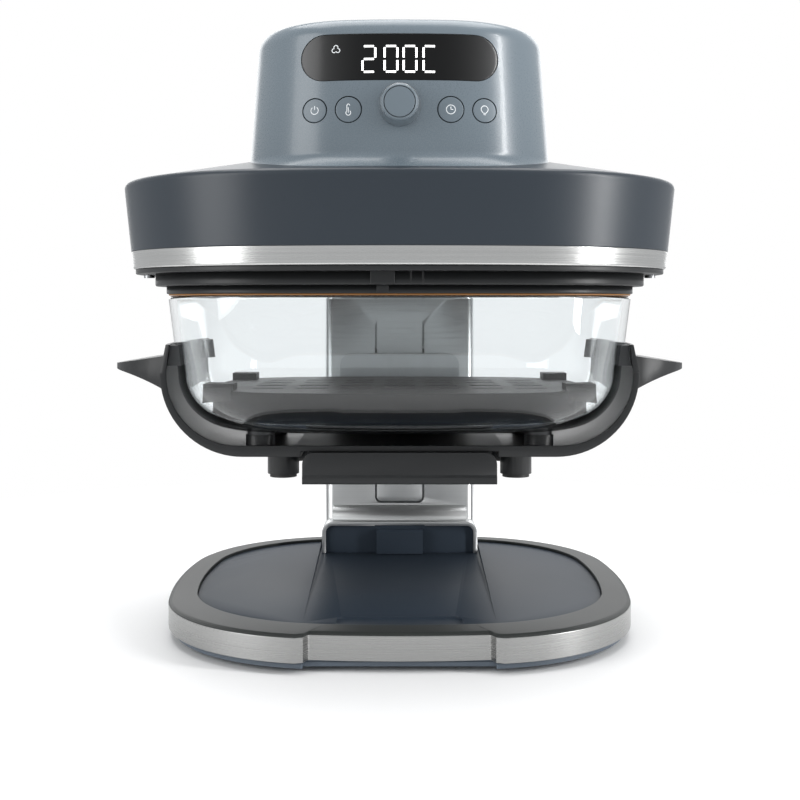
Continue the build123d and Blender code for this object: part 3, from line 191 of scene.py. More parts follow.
def smokedLens(name):
    # painted sheen: the base colour lightens towards both ends with the fourth power of x, a painted
    # reflection on the lens ends
    made = Finish(name)
    side = (made.axis("X") / 0.0555).clamp(-1.0, 1.0)
    glowAndPaintedSheen = abs(side - 0.05) ** 4.0 * 0.085
    haze = made.noise((30, 30, 30), 2.0)
    # the painted sheen is added to the dark lens colour
    parts = {"Red": glowAndPaintedSheen + 0.006, "Green": glowAndPaintedSheen + 0.0062, "Blue": glowAndPaintedSheen + 0.0065}
    colour = made.node("ShaderNodeCombineColor", {}, parts)
    made.set(Base_Color=colour, Roughness=0.18 + haze * 0.05)
    made.shader.inputs["Specular IOR Level"].default_value = 0.22
    return made.material


def lamp(name, colour, strength):
    made = Finish(name)
    tide = made.noise((500, 500, 500), 2.0)
    glowAndPaintedSheen = made.blend(tide, shade(colour, 0.94), shade(colour, 1.0))
    made.set(Base_Color=shade(colour, 0.9), Emission_Color=glowAndPaintedSheen)
    made.shader.inputs["Emission Strength"].default_value = strength
    made.shader.inputs["Roughness"].default_value = 0.5
    return made.material


slate = (0.023, 0.032, 0.043)
domeBlue = (0.155, 0.192, 0.222)
charcoal = (0.018, 0.019, 0.020)
finishes = {
    "band_steel": brushed("band_steel", (0.66, 0.66, 0.65)),
    "column_steel": brushed("column_steel", (0.74, 0.75, 0.75), 0.42),
    "zinc_steel": sheetMetal("zinc_steel", (0.55, 0.57, 0.58)),
    "screw_steel": sheetMetal("screw_steel", (0.45, 0.46, 0.47), 0.35),
    "ballast_iron": sheetMetal("ballast_iron", (0.12, 0.12, 0.12), 0.7),
    "tray_plastic": plastic("tray_plastic", (0.085, 0.11, 0.14), 0.42),
    "frame_plastic": plastic("frame_plastic", (0.038, 0.041, 0.040), 0.42, gloss=0.2),
    "deck_plastic": plastic("deck_plastic", (0.034, 0.046, 0.063), 0.45, gloss=0.12),
    "skirt_plastic": plastic("skirt_plastic", slate, 0.36),
    "dome_plastic": plastic("dome_plastic", domeBlue, 0.28, coat=0.15),
    "button_plastic": plastic("button_plastic", domeBlue, 0.36),
    "charcoal_plastic": plastic("charcoal_plastic", charcoal, 0.40, gloss=0.4),
    "black_plastic": plastic("black_plastic", (0.012, 0.012, 0.013), 0.35),
    "display_gloss": smokedLens("display_gloss"),
    "board_green": plastic("board_green", (0.02, 0.10, 0.05), 0.3, swing=0.3),
    "rubber_black": plastic("rubber_black", (0.014, 0.014, 0.014), 0.55, 0.00006),
    "rubber_grey": plastic("rubber_grey", (0.050, 0.053, 0.056), 0.5, 0.00006),
    "silicone_dark": plastic("silicone_dark", (0.34, 0.15, 0.04), 0.45, 0.00005),
    "clear_glass": clearGlass("clear_glass", (0.95, 0.975, 0.985)),
    "pan_aluminium": sheetMetal("pan_aluminium", (0.72, 0.72, 0.70), 0.35),
    "dark_steel": sheetMetal("dark_steel", (0.18, 0.18, 0.19), 0.45),
    "motor_paint": plastic("motor_paint", (0.04, 0.04, 0.04), 0.4),
    "plate_coating": plastic("plate_coating", (0.007, 0.0073, 0.0078), 0.5, 0.00008, gloss=0.14),
    "acetal_white": plastic("acetal_white", (0.75, 0.75, 0.72), 0.4),
    # painted shade: a darker copy of the band steel, used on the base band so that it looks less lit
    # than the head band
    "base_steel_painted_shade": brushed("base_steel_painted_shade", (0.37, 0.37, 0.365), 0.28),
    "dial_side": sheetMetal("dial_side", (0.55, 0.58, 0.60), 0.3),
    "icon_white": lamp("icon_white", (0.85, 0.88, 0.90), 0.25),
    "digit_white": lamp("digit_white", (1.0, 1.0, 1.0), 1.6),
}
for subpart in frame["record"]["subparts"]:
    node = frame["nodes"][subpart["node"]]
    node.data.materials.clear()
    node.data.materials.append(finishes[subpart["material_slot"]])
print("materials made:", len(finishes))


# surfaces, all in millimetres
def bowPlan(form, longCount=32, cornerCount=26, frontX=()):
    # outline by its normal's angle a: centre(a) + radius(a) * (cos a, sin a)
    # it has four long bows and four corner arcs
    halfWidth, halfDepth, endRadius, sideRadius, corner, centreY = form
    endCentre = np.array([0.0, endRadius - halfDepth])
    sideCentre = np.array([halfWidth - sideRadius, 0.0])
    gap = np.hypot(*(sideCentre - endCentre))
    along = ((endRadius - corner) ** 2 - (sideRadius - corner) ** 2 + gap**2) / (2 * gap)
    across = np.sqrt((endRadius - corner) ** 2 - along**2)
    toSide = (sideCentre - endCentre) / gap
    cornerCentre = endCentre + along * toSide + across * np.array([-toSide[1], toSide[0]])
    front = np.arctan2(*(cornerCentre - endCentre)[::-1])
    side = np.arctan2(*(cornerCentre - sideCentre)[::-1])
    (cx, cy), sx, ey = cornerCentre, sideCentre[0], endCentre[1]
    spans = [
        (-np.pi - front, front, (0, ey), endRadius, longCount),
        (front, side, (cx, cy), corner, cornerCount),
        (side, -side, (sx, 0), sideRadius, longCount),
        (-side, -front, (cx, -cy), corner, cornerCount),
        (-front, np.pi + front, (0, -ey), endRadius, longCount),
        (np.pi + front, np.pi + side, (-cx, -cy), corner, cornerCount),
        (np.pi + side, np.pi - side, (-sx, 0), sideRadius, longCount),
        (np.pi - side, np.pi - front, (-cx, cy), corner, cornerCount),
    ]
    at, out = [], []
    for index, (start, end, centre, radius, count) in enumerate(spans):
        angles = np.linspace(start, end, count, endpoint=False)
        if index == 0 and len(frontX):
            extra = np.arcsin(np.array(frontX) / radius) - np.pi / 2
            angles = np.union1d(angles, extra[(extra > start) & (extra < end)])
        normal = np.stack([np.cos(angles), np.sin(angles)], 1)
        at.append(np.array(centre) + radius * normal)
        out.append(normal)
    at, out = np.concatenate(at), np.concatenate(out)
    parts = {"end": endRadius, "endY": ey, "corner": corner, "cornerAt": (cx, cy), "front": front}
    return {"at": at + [0, centreY], "out": out, "centreY": centreY, **parts}


def frontOf(plan, x, inset):
    # y of the outline's front half above x: the end bow in the middle, the corner arc beyond
    joint = (plan["end"] - inset) * np.cos(plan["front"])
    bow = plan["endY"] - np.sqrt(np.maximum((plan["end"] - inset) ** 2 - x**2, 0))
    reach = np.abs(x) - plan["cornerAt"][0]
    arc = plan["cornerAt"][1] - np.sqrt(np.maximum((plan["corner"] - inset) ** 2 - reach**2, 0))
    return plan["centreY"] + np.where(np.abs(x) < joint, bow, arc)


def rounded(points, radii, steps=4):
    # closed section (z, inset) with each corner turned into an arc that touches both its sides
    points = [np.array(point, float) for point in points]
    made = []
    for index, (point, radius) in enumerate(zip(points, radii)):
        if radius == 0:
            made.append(point[None])
            continue
        before = points[index - 1] - point
        after = points[(index + 1) % len(points)] - point
        before, after = before / np.hypot(*before), after / np.hypot(*after)
        half = np.arccos(np.clip(before @ after, -1, 1)) / 2
        centre = point + (before + after) / np.hypot(*(before + after)) * radius / np.sin(half)
        first = point + before * radius / np.tan(half) - centre
        last = point + after * radius / np.tan(half) - centre
        share = np.linspace(0, 1, steps + 1)[:, None]
        spread = np.pi - 2 * half
        arc = (np.sin((1 - share) * spread) * first + np.sin(share * spread) * last) / np.sin(spread)
        made.append(centre + arc)
    return np.concatenate(made)


def shellGrid(plan, section):
    # rows follow the section, columns the outline: (outline - inset * normal, z)
    flat = plan["at"][None] - section[:, 1, None, None] * plan["out"][None]
    height = np.broadcast_to(section[:, 0, None, None], (*flat.shape[:2], 1))
    return np.concatenate([flat, height], 2)


def gridFaces(rows, columns, wrapRows, wrapColumns=True):
    # four corners per cell: row * columns + column, with the last one joined to the first
    down = np.arange(rows if wrapRows else rows - 1)[:, None]
    along = np.arange(columns if wrapColumns else columns - 1)[None]
    a = down * columns + along
    b = down * columns + (along + 1) % columns
    c = (down + 1) % rows * columns + (along + 1) % columns
    d = (down + 1) % rows * columns + along
    return np.stack([a, b, c, d], -1).reshape(-1, 4)


def fan(ring, centre):
    # one triangle from each side of the ring to the centre point
    return np.stack([ring, np.roll(ring, -1), np.full(len(ring), centre)], 1)


def volumeOf(points, faces):
    # six times the signed volume: the sum of a . (b x c) over the triangles
    total = 0.0
    for corner in range(1, faces.shape[1] - 1):
        a, b, c = (points[faces[:, index]] for index in (0, corner, corner + 1))
        total += np.einsum("ij,ij->i", a, np.cross(b, c)).sum()
    return total


# the faces are turned round where the signed volume is negative, so that all look outwards
def addMesh(name, points, faceSets, body, slotName, replaced=(), weighted=True, finish=None):
    signed = sum(volumeOf(points, faces) for faces in faceSets)
    step = 1 if signed > 0 else -1
    faces = [row for faceSet in faceSets for row in faceSet[:, ::step].tolist()]
    mesh = bpy.data.meshes.new(name)
    mesh.from_pydata((points * mm).tolist(), [], faces)
    mesh.polygons.foreach_set("use_smooth", np.ones(len(faces), bool))
    mesh.update()
    made = bpy.data.objects.new(name, mesh)
    scene.collection.objects.link(made)
    mesh.materials.append(finishes[finish or slotName])
    if weighted:
        made.modifiers.new("weights", "WEIGHTED_NORMAL").weight = 60
    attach(made, body)
    if replaced:
        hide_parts(*replaced)
    return made


def addRing(name, grid, body, slotName, replaced=(), finish=None):
    # a closed tube of sections round the outline
    faces = gridFaces(grid.shape[0], grid.shape[1], True)
    return addMesh(name, grid.reshape(-1, 3), [faces], body, slotName, replaced, finish=finish)


def addCapped(name, grid, body, slotName, replaced=(), weighted=True):
    # rows from one pole to the other, each end closed by a fan
    rows, columns = grid.shape[:2]
    points = np.concatenate([grid.reshape(-1, 3), grid[0].mean(0)[None], grid[-1].mean(0)[None]])
    first = fan(np.arange(columns)[::-1], rows * columns)
    last = fan(np.arange(columns) + (rows - 1) * columns, rows * columns + 1)
    faces = gridFaces(rows, columns, False)
    return addMesh(name, points, [faces, first, last], body, slotName, replaced, weighted)


# base: brushed band with its recessed front and the dark frame ring
baseForm = (145.5, 149.0, 440.0, 446.0, 102.0, 0.0)
deckForm = (129.5, 129.5, 395.0, 405.0, 90.0, 7.0)
recess = {"half": 52.0, "slope": 5.6, "depth": 8.0}
edgeX = np.linspace(recess["half"] - 4.5, recess["half"] + 4.5, 30)
basePlan = bowPlan(baseForm, 40, 30, np.concatenate([-edgeX, edgeX]))
plainAngle = np.arctan2(basePlan["at"][:, 1], basePlan["at"][:, 0])
inFront = basePlan["at"][:, 1] < 0
sideways = np.abs(basePlan["at"][:, 0])
ramp = np.clip((recess["half"] + recess["slope"] / 2 - sideways) / recess["slope"], 0, 1)
basePlan["at"][:, 1] += np.where(inFront, recess["depth"] * ramp**2 * (3 - 2 * ramp), 0)
bandSection = rounded([(6.5, 0), (20.5, 0), (20.5, 1.2), (6.5, 1.2)], [0.5, 0.35, 0.3, 0.4], 4)
bandGrid = shellGrid(basePlan, bandSection)
# the base band takes the darker painted-shade copy of the band steel
addRing("base_band_steel", bandGrid, "fryer_body", "band_steel", ["base_band"], "base_steel_painted_shade")
deckPlan = bowPlan(deckForm, 40, 30)
top, seat, roll, under = 22.0, 20.6, 1.4, 18.4
outerCurve = rounded([(seat, 2.2), (seat, 0.15), (top, 0.15)], [0, 0.2, roll - 0.2], 5)[:-1]
outerRows = shellGrid(basePlan, np.concatenate([outerCurve, [(top, 3.0)]]))
innerSection = [(top, -1.6), (top, -0.35), (21.86, -0.1), (21.5, 0.0)]
innerSection += [(under, 0.0), (under, -2.0)]
deckAngle = np.arctan2(deckPlan["at"][:, 1], deckPlan["at"][:, 0])
innerPlan = {}
for key in ("at", "out"):
    ways = deckPlan[key].T
    sides = [np.interp(plainAngle, deckAngle, way, period=2 * np.pi) for way in ways]
    innerPlan[key] = np.stack(sides, 1)
innerRows = shellGrid(innerPlan, np.array(innerSection))
frameGrid = np.concatenate([outerRows, innerRows])
addRing("base_frame_ring", frameGrid, "fryer_body", "frame_plastic", ["base_frame"])
print("base made")

# head: skirt, band, stepped rings
headForm = (175.0, 150.0, 378.0, 368.0, 124.0, 0.0)
head = {"bottom": 234.5, "edge": 276.2, "roll": 3.6, "draft": 4.3, "wall": 2.6}
head.update({"slope": 0.2, "reach": 82.0})
headPlan = bowPlan(headForm, 48, 40)
crownTop = head["edge"] + head["slope"] * head["reach"]
inside = head["roll"] + head["reach"]
skirtSection = rounded(
    [
        (head["bottom"], head["draft"]),
        (head["edge"], -0.1),
        (crownTop, inside),
        (crownTop - head["wall"], inside),
        (head["edge"] - head["wall"], head["wall"]),
        (head["bottom"], head["draft"] + head["wall"]),
    ],
    [0.5, head["roll"], 0, 0, 1.0, 0.4],
    8,
)
skirtGrid = shellGrid(headPlan, skirtSection)
addRing("head_skirt_shell", skirtGrid, "fryer_body", "skirt_plastic", ["head_skirt"])
bandSection = rounded([(223.6, 5.7), (234.4, 4.3), (234.4, 6.9), (223.6, 8.3)], [1.6, 0.4, 0.4, 0.6], 5)
addRing("head_band_steel", shellGrid(headPlan, bandSection), "fryer_body", "band_steel", ["head_band"])

glassForm = (145.7, 112.0, 500.0, 525.0, 84.0, -10.0)
glassPlan = bowPlan(glassForm, 48, 40)
linerPlate = rounded([(220.6, 7.0), (223.5, 7.0), (223.5, 30.0), (220.6, 30.0)], [0.8, 0.4, 0, 0], 3)
addRing("liner_plate", shellGrid(headPlan, linerPlate), "fryer_body", "charcoal_plastic")
linerStep, sealStep, sealTop = -7.8, -1.0, 213.1
linerRing = [(213.0, 9.0), (213.0, linerStep), (222.0, linerStep), (222.0, 9.0)]
linerRing = rounded(linerRing, [0.5, 1.2, 0, 0], 4)
addRing("liner_ring", shellGrid(glassPlan, linerRing), "fryer_body", "charcoal_plastic", ["head_liner"])
sealSection = [(208.3, 9.0), (208.3, sealStep), (213.2, sealStep), (213.2, 9.0)]
sealGrid = shellGrid(glassPlan, rounded(sealSection, [0.4, 0.8, 0, 0], 4))
addRing("seal_ring_round", sealGrid, "fryer_body", "charcoal_plastic", ["seal_ring"])
gasketSection = [(207.35, 7.0), (207.35, 0.4), (208.4, 0.4), (208.4, 7.0)]
gasketGrid = shellGrid(glassPlan, rounded(gasketSection, [0.3, 0.4, 0, 0], 3))
addRing("rim_gasket_soft", gasketGrid, "fryer_body", "silicone_dark", ["rim_gasket"])


def linerFront(x, z, depth):
    # y of a point on the liner's or the seal ring's front
    return frontOf(glassPlan, x, np.where(z > sealTop, linerStep, sealStep)) + depth


def roundedBox(x0, x1, z0, z1, radius):
    return rounded([(x0, z0), (x1, z0), (x1, z1), (x0, z1)], [radius] * 4, 5)


print("head made")

# dome: flared foot, drafted wall, rolled and crowned top
domeForm = (92.5, 103.5, 294.0, 310.0, 67.0, -29.5)
dome = {"foot": 276.5, "waist": 288.0, "edge": 352.0, "top": 366.0, "draft": 4.8}
dome.update({"roll": 10.0, "crown": 3.0, "flare": 10.0, "wall": 2.6, "reach": 40.7})
domeSink, roofRise, roofReach = 0.4, 0.78, 62.0  # foot into the head's top, inside of the roof
domePlan = bowPlan(domeForm, 48, 40)


def crownHeight(spots):
    # height of the head's top at (x, y) spots, from their distance to the head's outline
    reach = np.sqrt(((spots[:, None] - headPlan["at"][None]) ** 2).sum(2).min(1))
    return head["edge"] + head["slope"] * np.maximum(reach - head["roll"], 0)


def domeInset(z):
    # inset of the dome's wall at a height: quadratic flare below the waist, even draft above
    rise = np.clip((z - dome["foot"]) / (dome["waist"] - dome["foot"]), 0, 1)
    wall = dome["draft"] * np.clip((z - dome["waist"]) / (dome["edge"] - dome["waist"]), 0, 1)
    return wall - dome["flare"] * (1 - rise) ** 2


footZ = np.full(len(domePlan["at"]), dome["waist"] - 2)
for turn in range(8):
    footZ = crownHeight(domePlan["at"] - domeInset(footZ)[:, None] * domePlan["out"]) - domeSink
    footZ = np.clip(footZ, dome["foot"], None)
share = np.linspace(0, 1, 14)[:, None]
lowZ = footZ[None] + (np.maximum(dome["waist"], footZ + 1)[None] - footZ[None]) * share
lowInset = domeInset(lowZ)
wallZ = np.linspace(dome["waist"] + 3, dome["edge"], 10)[:, None] * np.ones(len(footZ))
turnAngle = np.radians(np.arange(10, 91, 10))[:, None] * np.ones(len(footZ))
rollZ = dome["edge"] + (dome["top"] - dome["crown"] - dome["edge"]) * np.sin(turnAngle)
rollInset = dome["draft"] + dome["roll"] * (1 - np.cos(turnAngle))
crownShare = np.linspace(0.1, 1, 8)[:, None] * np.ones(len(footZ))
crownInset = dome["draft"] + dome["roll"] + dome["reach"] * crownShare
crownZ = dome["top"] - dome["crown"] * (1 - crownShare) ** 2
outerZ = np.concatenate([lowZ, wallZ, rollZ, crownZ])
outerInset = np.concatenate([lowInset, domeInset(wallZ), rollInset, crownInset])
roofZ = dome["edge"] + (outerZ - dome["edge"]) * roofRise
innerZ = np.where(outerZ > dome["edge"], roofZ, outerZ)
innerInset = np.minimum(outerInset + dome["wall"], roofReach)
sectionZ = np.concatenate([outerZ[::-1], innerZ])
sectionInset = np.concatenate([outerInset[::-1], innerInset])
flat = domePlan["at"][None] - sectionInset[..., None] * domePlan["out"][None]
domeGrid = np.concatenate([flat, sectionZ[..., None]], 2)
domeShell = addCapped("dome_shell", domeGrid, "fryer_body", "dome_plastic", ["dome_cover"])


def faceY(x, z, depth=0.0):
    # y of a point on the dome's front, sunk by a depth
    return frontOf(domePlan, x, domeInset(z)) + depth


def pillOutline(halfWidth, bottom, top, count=20):
    # closed outline (x, z): two half circles joined by straight sides
    radius = (top - bottom) / 2
    turn = np.linspace(-np.pi / 2, np.pi / 2, count)
    right = np.stack([halfWidth - radius + radius * np.cos(turn), radius * np.sin(turn)], 1)
    straight = np.linspace(0.05, 0.95, 24)[:, None]
    topSide = right[-1] * (1 - straight) + right[-1] * [-1, 1] * straight
    half = np.concatenate([right, topSide])
    return np.concatenate([half, -half]) + [0, (bottom + top) / 2]


def prism(outline, front, back):
    ring = np.concatenate([outline[:, :1], np.zeros((len(outline), 1)), outline[:, 1:]], 1)
    return np.stack([ring + [0, front, 0], ring + [0, back, 0]])


def disc(x, z, radius, count=56):
    turn = np.linspace(0, 2 * np.pi, count, endpoint=False)
    return np.stack([x + radius * np.cos(turn), z + radius * np.sin(turn)], 1)


keys = {
    "power_button": (-47.6, 6.8, "power_key"),
    "temp_button": (-28.5, 7.3, "temp_key"),
    "time_button": (28.5, 7.3, "time_key"),
    "light_button": (47.6, 6.8, "light_key"),
}
keyZ, dialZ, dialBore = 310.5, 312.5, 4.5
keyGap, capGap = 0.35, 0.15
cutStart = -150  # every cut starts in front of the dome
lens = {"half": 55.5, "bottom": 327.0, "top": 353.0, "gap": 0.25}
vents = {"half": 45, "bottom": 300, "top": 340, "count": 7, "rise": 1.4, "back": (60, 90)}
cuts = []
for x, radius, body in keys.values():
    cuts.append(prism(disc(x, keyZ, radius + keyGap), cutStart, -70))
cuts.append(prism(disc(0, dialZ, dialBore), cutStart, -100))
lensHole = (lens["half"] + lens["gap"], lens["bottom"] - lens["gap"], lens["top"] + lens["gap"])
cuts.append(prism(pillOutline(*lensHole), cutStart, -90))
ventPitch = (vents["top"] - vents["bottom"]) / vents["count"]
for level in range(vents["count"]):
    middle = vents["bottom"] + (level + 0.5) * ventPitch
    slot = pillOutline(vents["half"], middle - vents["rise"], middle + vents["rise"], 8)
    cuts.append(prism(slot, *vents["back"]))
for index, cut in enumerate(cuts):
    cutter = addCapped("cut" + str(index), cut, "fryer_body", "dome_plastic", weighted=False)
    cutter.hide_render = cutter.hide_viewport = True
    hole = domeShell.modifiers.new("hole" + str(index), "BOOLEAN")
    hole.object, hole.solver = cutter, "EXACT"
split = domeShell.modifiers.new("split", "EDGE_SPLIT")
split.split_angle = np.radians(32)
domeShell.modifiers.move(0, len(domeShell.modifiers) - 1)


def facePatch(outline, rows, surface=faceY):
    # rows are (share of the outline's size, depth below the surface)
    centre = outline.mean(0)
    made = []
    for share, depth in rows:
        ring = centre + share * (outline - centre)
        made.append(np.stack([ring[:, 0], surface(ring[:, 0], ring[:, 1], depth), ring[:, 1]], 1))
    return np.stack(made)


lensOutline = pillOutline(lens["half"], lens["bottom"], lens["top"])
lensRows = [(0.02, 2.0), (0.5, 2.0), (0.98, 2.0), (1.0, 1.8), (1.0, 0.5)]
lensRows += [(0.997, 0.25), (0.990, 0.12), (0.97, 0.1)]
lensRows += [(share, 0.1) for share in np.linspace(0.93, 0.02, 16)]
lensGrid = facePatch(lensOutline, lensRows)
addCapped("display_glass", lensGrid, "fryer_body", "display_gloss", ["display_lens"])


def standing(outline, y):
    # outline (x, z) stood up at one y
    return np.insert(outline, 1, y, axis=1)


capRows = [(1.0, 3.6), (1.0, 0.55), (0.99, 0.28), (0.965, 0.12)]
capRows += [(share, 0.05) for share in (0.93, 0.7, 0.4, 0.1)]
switchY, stemRadius = -117.5, 2.5
for name, (x, radius, body) in keys.items():
    cap = facePatch(disc(x, keyZ, radius - capGap), capRows)
    stemRows = [(0.4, switchY), (stemRadius, switchY), (stemRadius, cap[0][:, 1].mean())]
    stem = np.stack([standing(disc(x, keyZ, reach), y) for reach, y in stemRows])
    button = np.concatenate([stem, cap])
    addCapped(name.replace("button", "cap"), button, body, "button_plastic", [name])

keyRows = [(1.0, 0.6), (1.0, -0.5), (0.97, -0.75), (0.9, -0.85), (0.5, -0.85), (0.1, -0.85)]
keyParts = {
    "key_head": (-16.4, -2.6, 213.6, 222.4, 0.8),
    "key_stem": (-13.0, -6.2, 208.5, 213.0, 0.5),
}
for name, box in keyParts.items():
    part = facePatch(roundedBox(*box), keyRows, linerFront)
    addCapped(name, part, "fryer_body", "charcoal_plastic")
# painted shade: thin black patches laid on the liner's front stand in for the shade inside its two
# slots
slotShadeRows = [(1.0, 0.3), (1.0, -0.04), (0.9, -0.05), (0.1, -0.05)]
for index, x in enumerate((6.3, 13.0)):
    outline = roundedBox(x - 0.55, x + 0.55, 214.2, 221.2, 0.4)
    slot = facePatch(outline, slotShadeRows, linerFront)
    addCapped("liner_slot_painted_shade" + str(index), slot, "fryer_body", "black_plastic")

# dial: tapered knob with a grooved face
knobFront, knobCount, sideRows = -145.55, 96, 5
# rows are (radius, depth behind the knob's face)
knobRows = [(0.5, 12.1), (11.3, 12.1), (11.8, 11.6), (11.5, 7.5), (10.6, 2.4), (10.1, 1.2)]
knobRows += [(9.3, 0.4), (8.9, 0.15), (8.7, 0.4), (8.62, 0.9), (8.38, 0.9), (8.3, 0.3)]
knobRows += [(8.0, 0.03), (4.0, 0.0), (0.5, 0.0)]


def turned(rows):
    # each row becomes a circle round the dial's axis
    rings = [standing(disc(0, dialZ, radius, knobCount), knobFront + y) for radius, y in rows]
    return np.stack(rings)


knobGrid = turned(knobRows)
knobPiece = addCapped("dial_knob_turned", knobGrid, "dial", "button_plastic", ["dial_knob"])
knobPiece.data.materials.append(finishes["dial_side"])
rowOf = np.arange(len(knobPiece.data.polygons)) // knobCount
knobPiece.data.polygons.foreach_set("material_index", (rowOf < sideRows).astype(int))
# painted shade: a black ring set into the knob's groove stands in for the shade inside the groove
grooveShadeRows = [(8.60, 0.85), (8.60, 0.35), (8.40, 0.35), (8.40, 0.85)]
addRing("dial_groove_painted_shade", turned(grooveShadeRows), "dial", "black_plastic")
print("dome and controls made")


# digits and icons: thin raised strips on the lens and the caps
stripDepth = 0.08


def onFace(rail, depth):
    # (x, z) points laid on the dome's front: (x, front y + depth, z)
    return np.stack([rail[:, 0], faceY(rail[:, 0], rail[:, 1], depth), rail[:, 1]], 1)


def strip(name, path, width, body, slotName, sink):
    # path (x, z) widened by its sideways normal and laid on the dome's face
    path = np.array(path, float)
    ahead = np.roll(path, -1, 0) - np.roll(path, 1, 0)
    ahead[0], ahead[-1] = path[1] - path[0], path[-1] - path[-2]
    ahead /= np.hypot(ahead[:, 0], ahead[:, 1])[:, None]
    across = np.stack([-ahead[:, 1], ahead[:, 0]], 1) * width / 2
    back = sink + stripDepth
    left, right = path + across, path - across
    rails = [(left, sink), (left, back), (right, back), (right, sink)]
    grid = np.stack([onFace(rail, depth) for rail, depth in rails])
    count = len(path)
    starts = np.arange(4) * count
    ends = np.stack([starts, starts[::-1] + count - 1])
    faces = [gridFaces(4, count, True, False), ends]
    return addMesh(name, grid.reshape(-1, 3), faces, body, slotName, weighted=False)


def line(start, end, count=3):
    return np.linspace(start, end, count)


digit = {"half": 3.55, "rise": 7.25, "width": 1.15, "gap": 0.75, "z": 338.8, "sink": 0.06}
corners = {
    "a": ((-1, 1), (1, 1)),
    "b": ((1, 1), (1, 0)),
    "c": ((1, 0), (1, -1)),
    "d": ((-1, -1), (1, -1)),
    "e": ((-1, 0), (-1, -1)),
    "f": ((-1, 1), (-1, 0)),
    "g": ((-1, 0), (1, 0)),
}
signs = [(-17.1, "abged"), (-4.8, "abcdef"), (5.8, "abcdef"), (16.9, "adef")]
for place, (centreX, lit) in enumerate(signs):
    for letter in lit:
        ends = np.array(corners[letter]) * [digit["half"], digit["rise"]] + [centreX, digit["z"]]
        run = (ends[1] - ends[0]) / np.hypot(*(ends[1] - ends[0])) * digit["gap"]
        name, bar = "digit" + str(place) + letter, line(ends[0] + run, ends[1] - run, 4)
        strip(name, bar, digit["width"], "fryer_body", "digit_white", digit["sink"])


def arc(x, z, radius, start, end, count=24):
    turn = np.radians(np.linspace(start, end, count))
    return np.stack([x + radius * np.cos(turn), z + radius * np.sin(turn)], 1)


iconWidth, iconSink = 0.42, 0.02
outer, inner = 47.6, 28.5
bulb = arc(outer, keyZ + 0.7, 2.0, -50, 230, 28)
bulbEnd = arc(outer, keyZ + 0.7, 2.0, -50, -49, 1)
tubeTop = arc(-inner, keyZ + 2.2, 0.8, 0, 180, 10)
tubeBulb = arc(-inner, keyZ - 1.9, 1.35, 126, 414)
icons = {
    "power_key": [
        arc(-outer, keyZ, 2.1, 125, 415),
        line((-outer, keyZ + 0.4), (-outer, keyZ + 2.6)),
    ],
    "temp_key": [
        np.concatenate([tubeTop, tubeBulb]),
        line((-inner, keyZ - 1.9), (-inner, keyZ + 1.2)),
    ],
    "time_key": [
        arc(inner, keyZ, 2.5, 0, 358, 40),
        line((inner, keyZ - 0.1), (inner, keyZ + 1.6)),
        line((inner - 0.1, keyZ), (inner + 1.3, keyZ)),
    ],
    "light_key": [
        np.concatenate([bulb, [(46.9, keyZ - 1.5)], [(48.3, keyZ - 1.5)], bulbEnd]),
        line((46.9, keyZ - 2.3), (48.3, keyZ - 2.3)),
    ],
}
for body, paths in icons.items():
    for index, path in enumerate(paths):
        strip("icon_" + body + str(index), path, iconWidth, body, "icon_white", iconSink)
fanSign = {"x": -35.6, "z": 344.5, "reach": 1.2, "radius": 1.15, "width": 0.45}
for blade in range(3):
    turn = 120 * blade + 90
    tip = np.radians(turn)
    x = fanSign["x"] + fanSign["reach"] * np.cos(tip)
    z = fanSign["z"] + fanSign["reach"] * np.sin(tip)
    path = arc(x, z, fanSign["radius"], turn - 130, turn + 100, 14)
    strip("fan_sign" + str(blade), path, fanSign["width"], "fryer_body", "icon_white", digit["sink"])
print("digits and icons made")

# container: one clear bowl, outside from the floor up, inside back down
glass = {"rim": 207.0, "bottom": 125.0, "wall": 4.5, "corner": 35.0, "draft": 5.9, "edge": 1.9}
turnZ = glass["bottom"] + glass["corner"]


def bowlSide(wall):
    # quarter turn from the floor up: z = turn - r sin a, inset = draft + wall + r (1 - cos a)
    turn = np.radians(np.linspace(90, 0, 16))
    radius = glass["corner"] - wall
    inset = glass["draft"] + wall + radius * (1 - np.cos(turn))
    return np.stack([turnZ - radius * np.sin(turn), inset], 1)


rimCorners = [
    (turnZ, glass["draft"]),
    (glass["rim"], 0.0),
    (glass["rim"], glass["wall"]),
    (turnZ, glass["draft"] + glass["wall"]),
]
rimCurve = rounded(rimCorners, [0, glass["edge"], glass["edge"], 0], 6)
bowlSection = np.concatenate([bowlSide(0), rimCurve[1:-1], bowlSide(glass["wall"])[::-1]])
bowlGrid = shellGrid(glassPlan, bowlSection)
addCapped("glass_bowl", bowlGrid, "container", "clear_glass", ["glass_container"])
print("container made")


# softened edges on the CAD pieces that show
edges = {
    "lift_lip": 0.5,
    "column_foot_block": 0.6,
    "base_deck": 0.3,
    "cradle": 0.4,
    "column_shell": 0.25,
}
edgeAngle, weldReach = 35.0, 0.00001


def soften(name, width):
    node = frame["nodes"][name]
    count = len(node.data.polygons)
    node.data.polygons.foreach_set("use_smooth", np.ones(count, bool))
    weld = node.modifiers.new("weld", "WELD")
    weld.merge_threshold = weldReach
    bevel = node.modifiers.new("edge", "BEVEL")
    bevel.width, bevel.segments, bevel.limit_method = width * mm, 2, "ANGLE"
    bevel.angle_limit = np.radians(edgeAngle)
    bevel.harden_normals = True


for name, width in edges.items():
    soften(name, width)

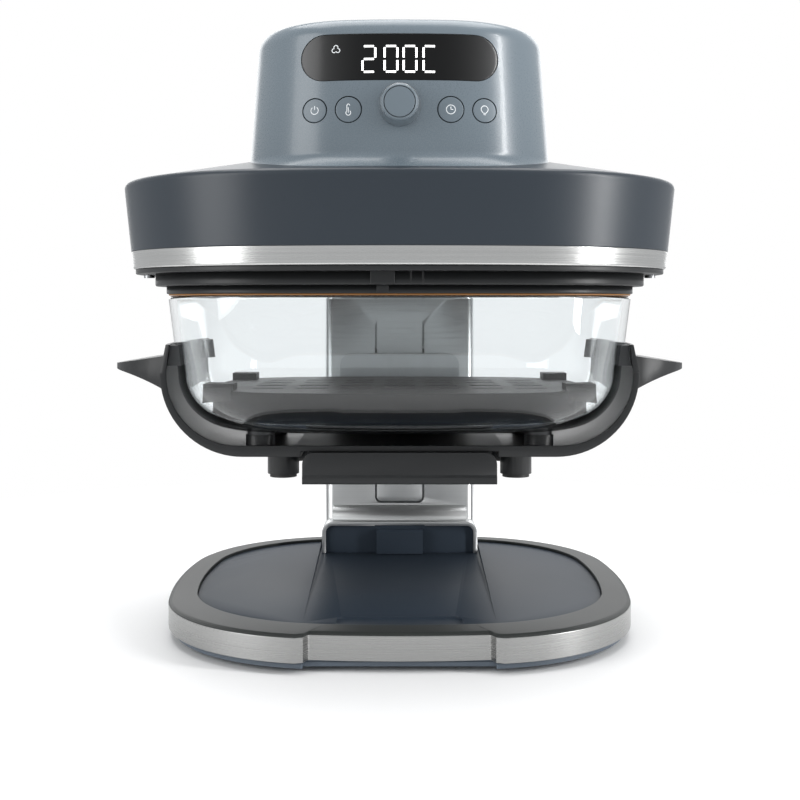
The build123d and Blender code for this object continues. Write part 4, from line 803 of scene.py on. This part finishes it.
# stage: white floor that fades into the white background, soft studio light
floorFinish = Finish("floor_white")
floorReach, fadeWidth = 0.62, 0.30
distance = (floorFinish.axis("X") ** 2 + floorFinish.axis("Y") ** 2) ** 0.5
fade = ((floorReach - distance) / fadeWidth).clamp()
paper = floorFinish.noise((3, 3, 3), 2.0)
paperTint = floorFinish.blend(paper, (0.93, 0.93, 0.93, 1), (0.95, 0.95, 0.95, 1))
floorFinish.set(Base_Color=paperTint, Alpha=fade)
floorFinish.shader.inputs["Roughness"].default_value = 0.6
bpy.ops.mesh.primitive_plane_add(size=1.6)
floor = bpy.context.object
floor.name = "floor"
floor.data.materials.append(floorFinish.material)

world = bpy.data.worlds.new("studio")
world.use_nodes = True
scene.world = world
tree = world.node_tree
background = tree.nodes["Background"]
rays = tree.nodes.new("ShaderNodeLightPath").outputs
seen = [Wire(tree, rays[kind]) for kind in ("Is Camera Ray", "Is Transmission Ray")]
clear = calculate(tree, "MAXIMUM", *seen)
mix = tree.nodes.new("ShaderNodeMix")
mix.data_type = "RGBA"
plug(tree, clear, mix.inputs[0])
mix.inputs[6].default_value = (0.56, 0.57, 0.58, 1)
mix.inputs[7].default_value = (1, 1, 1, 1)
tree.links.new(mix.outputs[2], background.inputs["Color"])
background.inputs["Strength"].default_value = 1.0


def softbox(name, spot, target, size, power):
    data = bpy.data.lights.new(name, "AREA")
    data.shape = "RECTANGLE"
    data.size, data.size_y, data.energy = *size, power
    made = bpy.data.objects.new(name, data)
    scene.collection.objects.link(made)
    made.location = spot
    direction = np.array(target) - np.array(spot)
    made.rotation_euler = Vector(direction).to_track_quat("-Z", "Y").to_euler()


softbox("overhead", (0.0, 0.15, 1.35), (0, 0, 0.1), (1.3, 1.0), 14)
softbox("right_strip", (1.22, -0.50, 0.50), (0, 0, 0.28), (0.12, 1.2), 14)
softbox("left_panel", (-1.15, -0.75, 0.50), (0, 0, 0.25), (0.7, 1.2), 9)
softbox("back_glow", (0.0, 1.1, 0.6), (0, 0, 0.2), (1.6, 0.8), 6)

cameraData = bpy.data.cameras.new("camera")
cameraData.lens, cameraData.sensor_width = 56.25, 36.0
cameraData.shift_x, cameraData.shift_y = 0.0005, -0.1225
camera = bpy.data.objects.new("camera", cameraData)
scene.collection.objects.link(camera)
camera.location = (0.0, -0.825, 0.2034)
camera.rotation_euler = (np.pi / 2, 0, 0)
scene.camera = camera
scene.view_settings.view_transform = "Standard"
print("stage made")
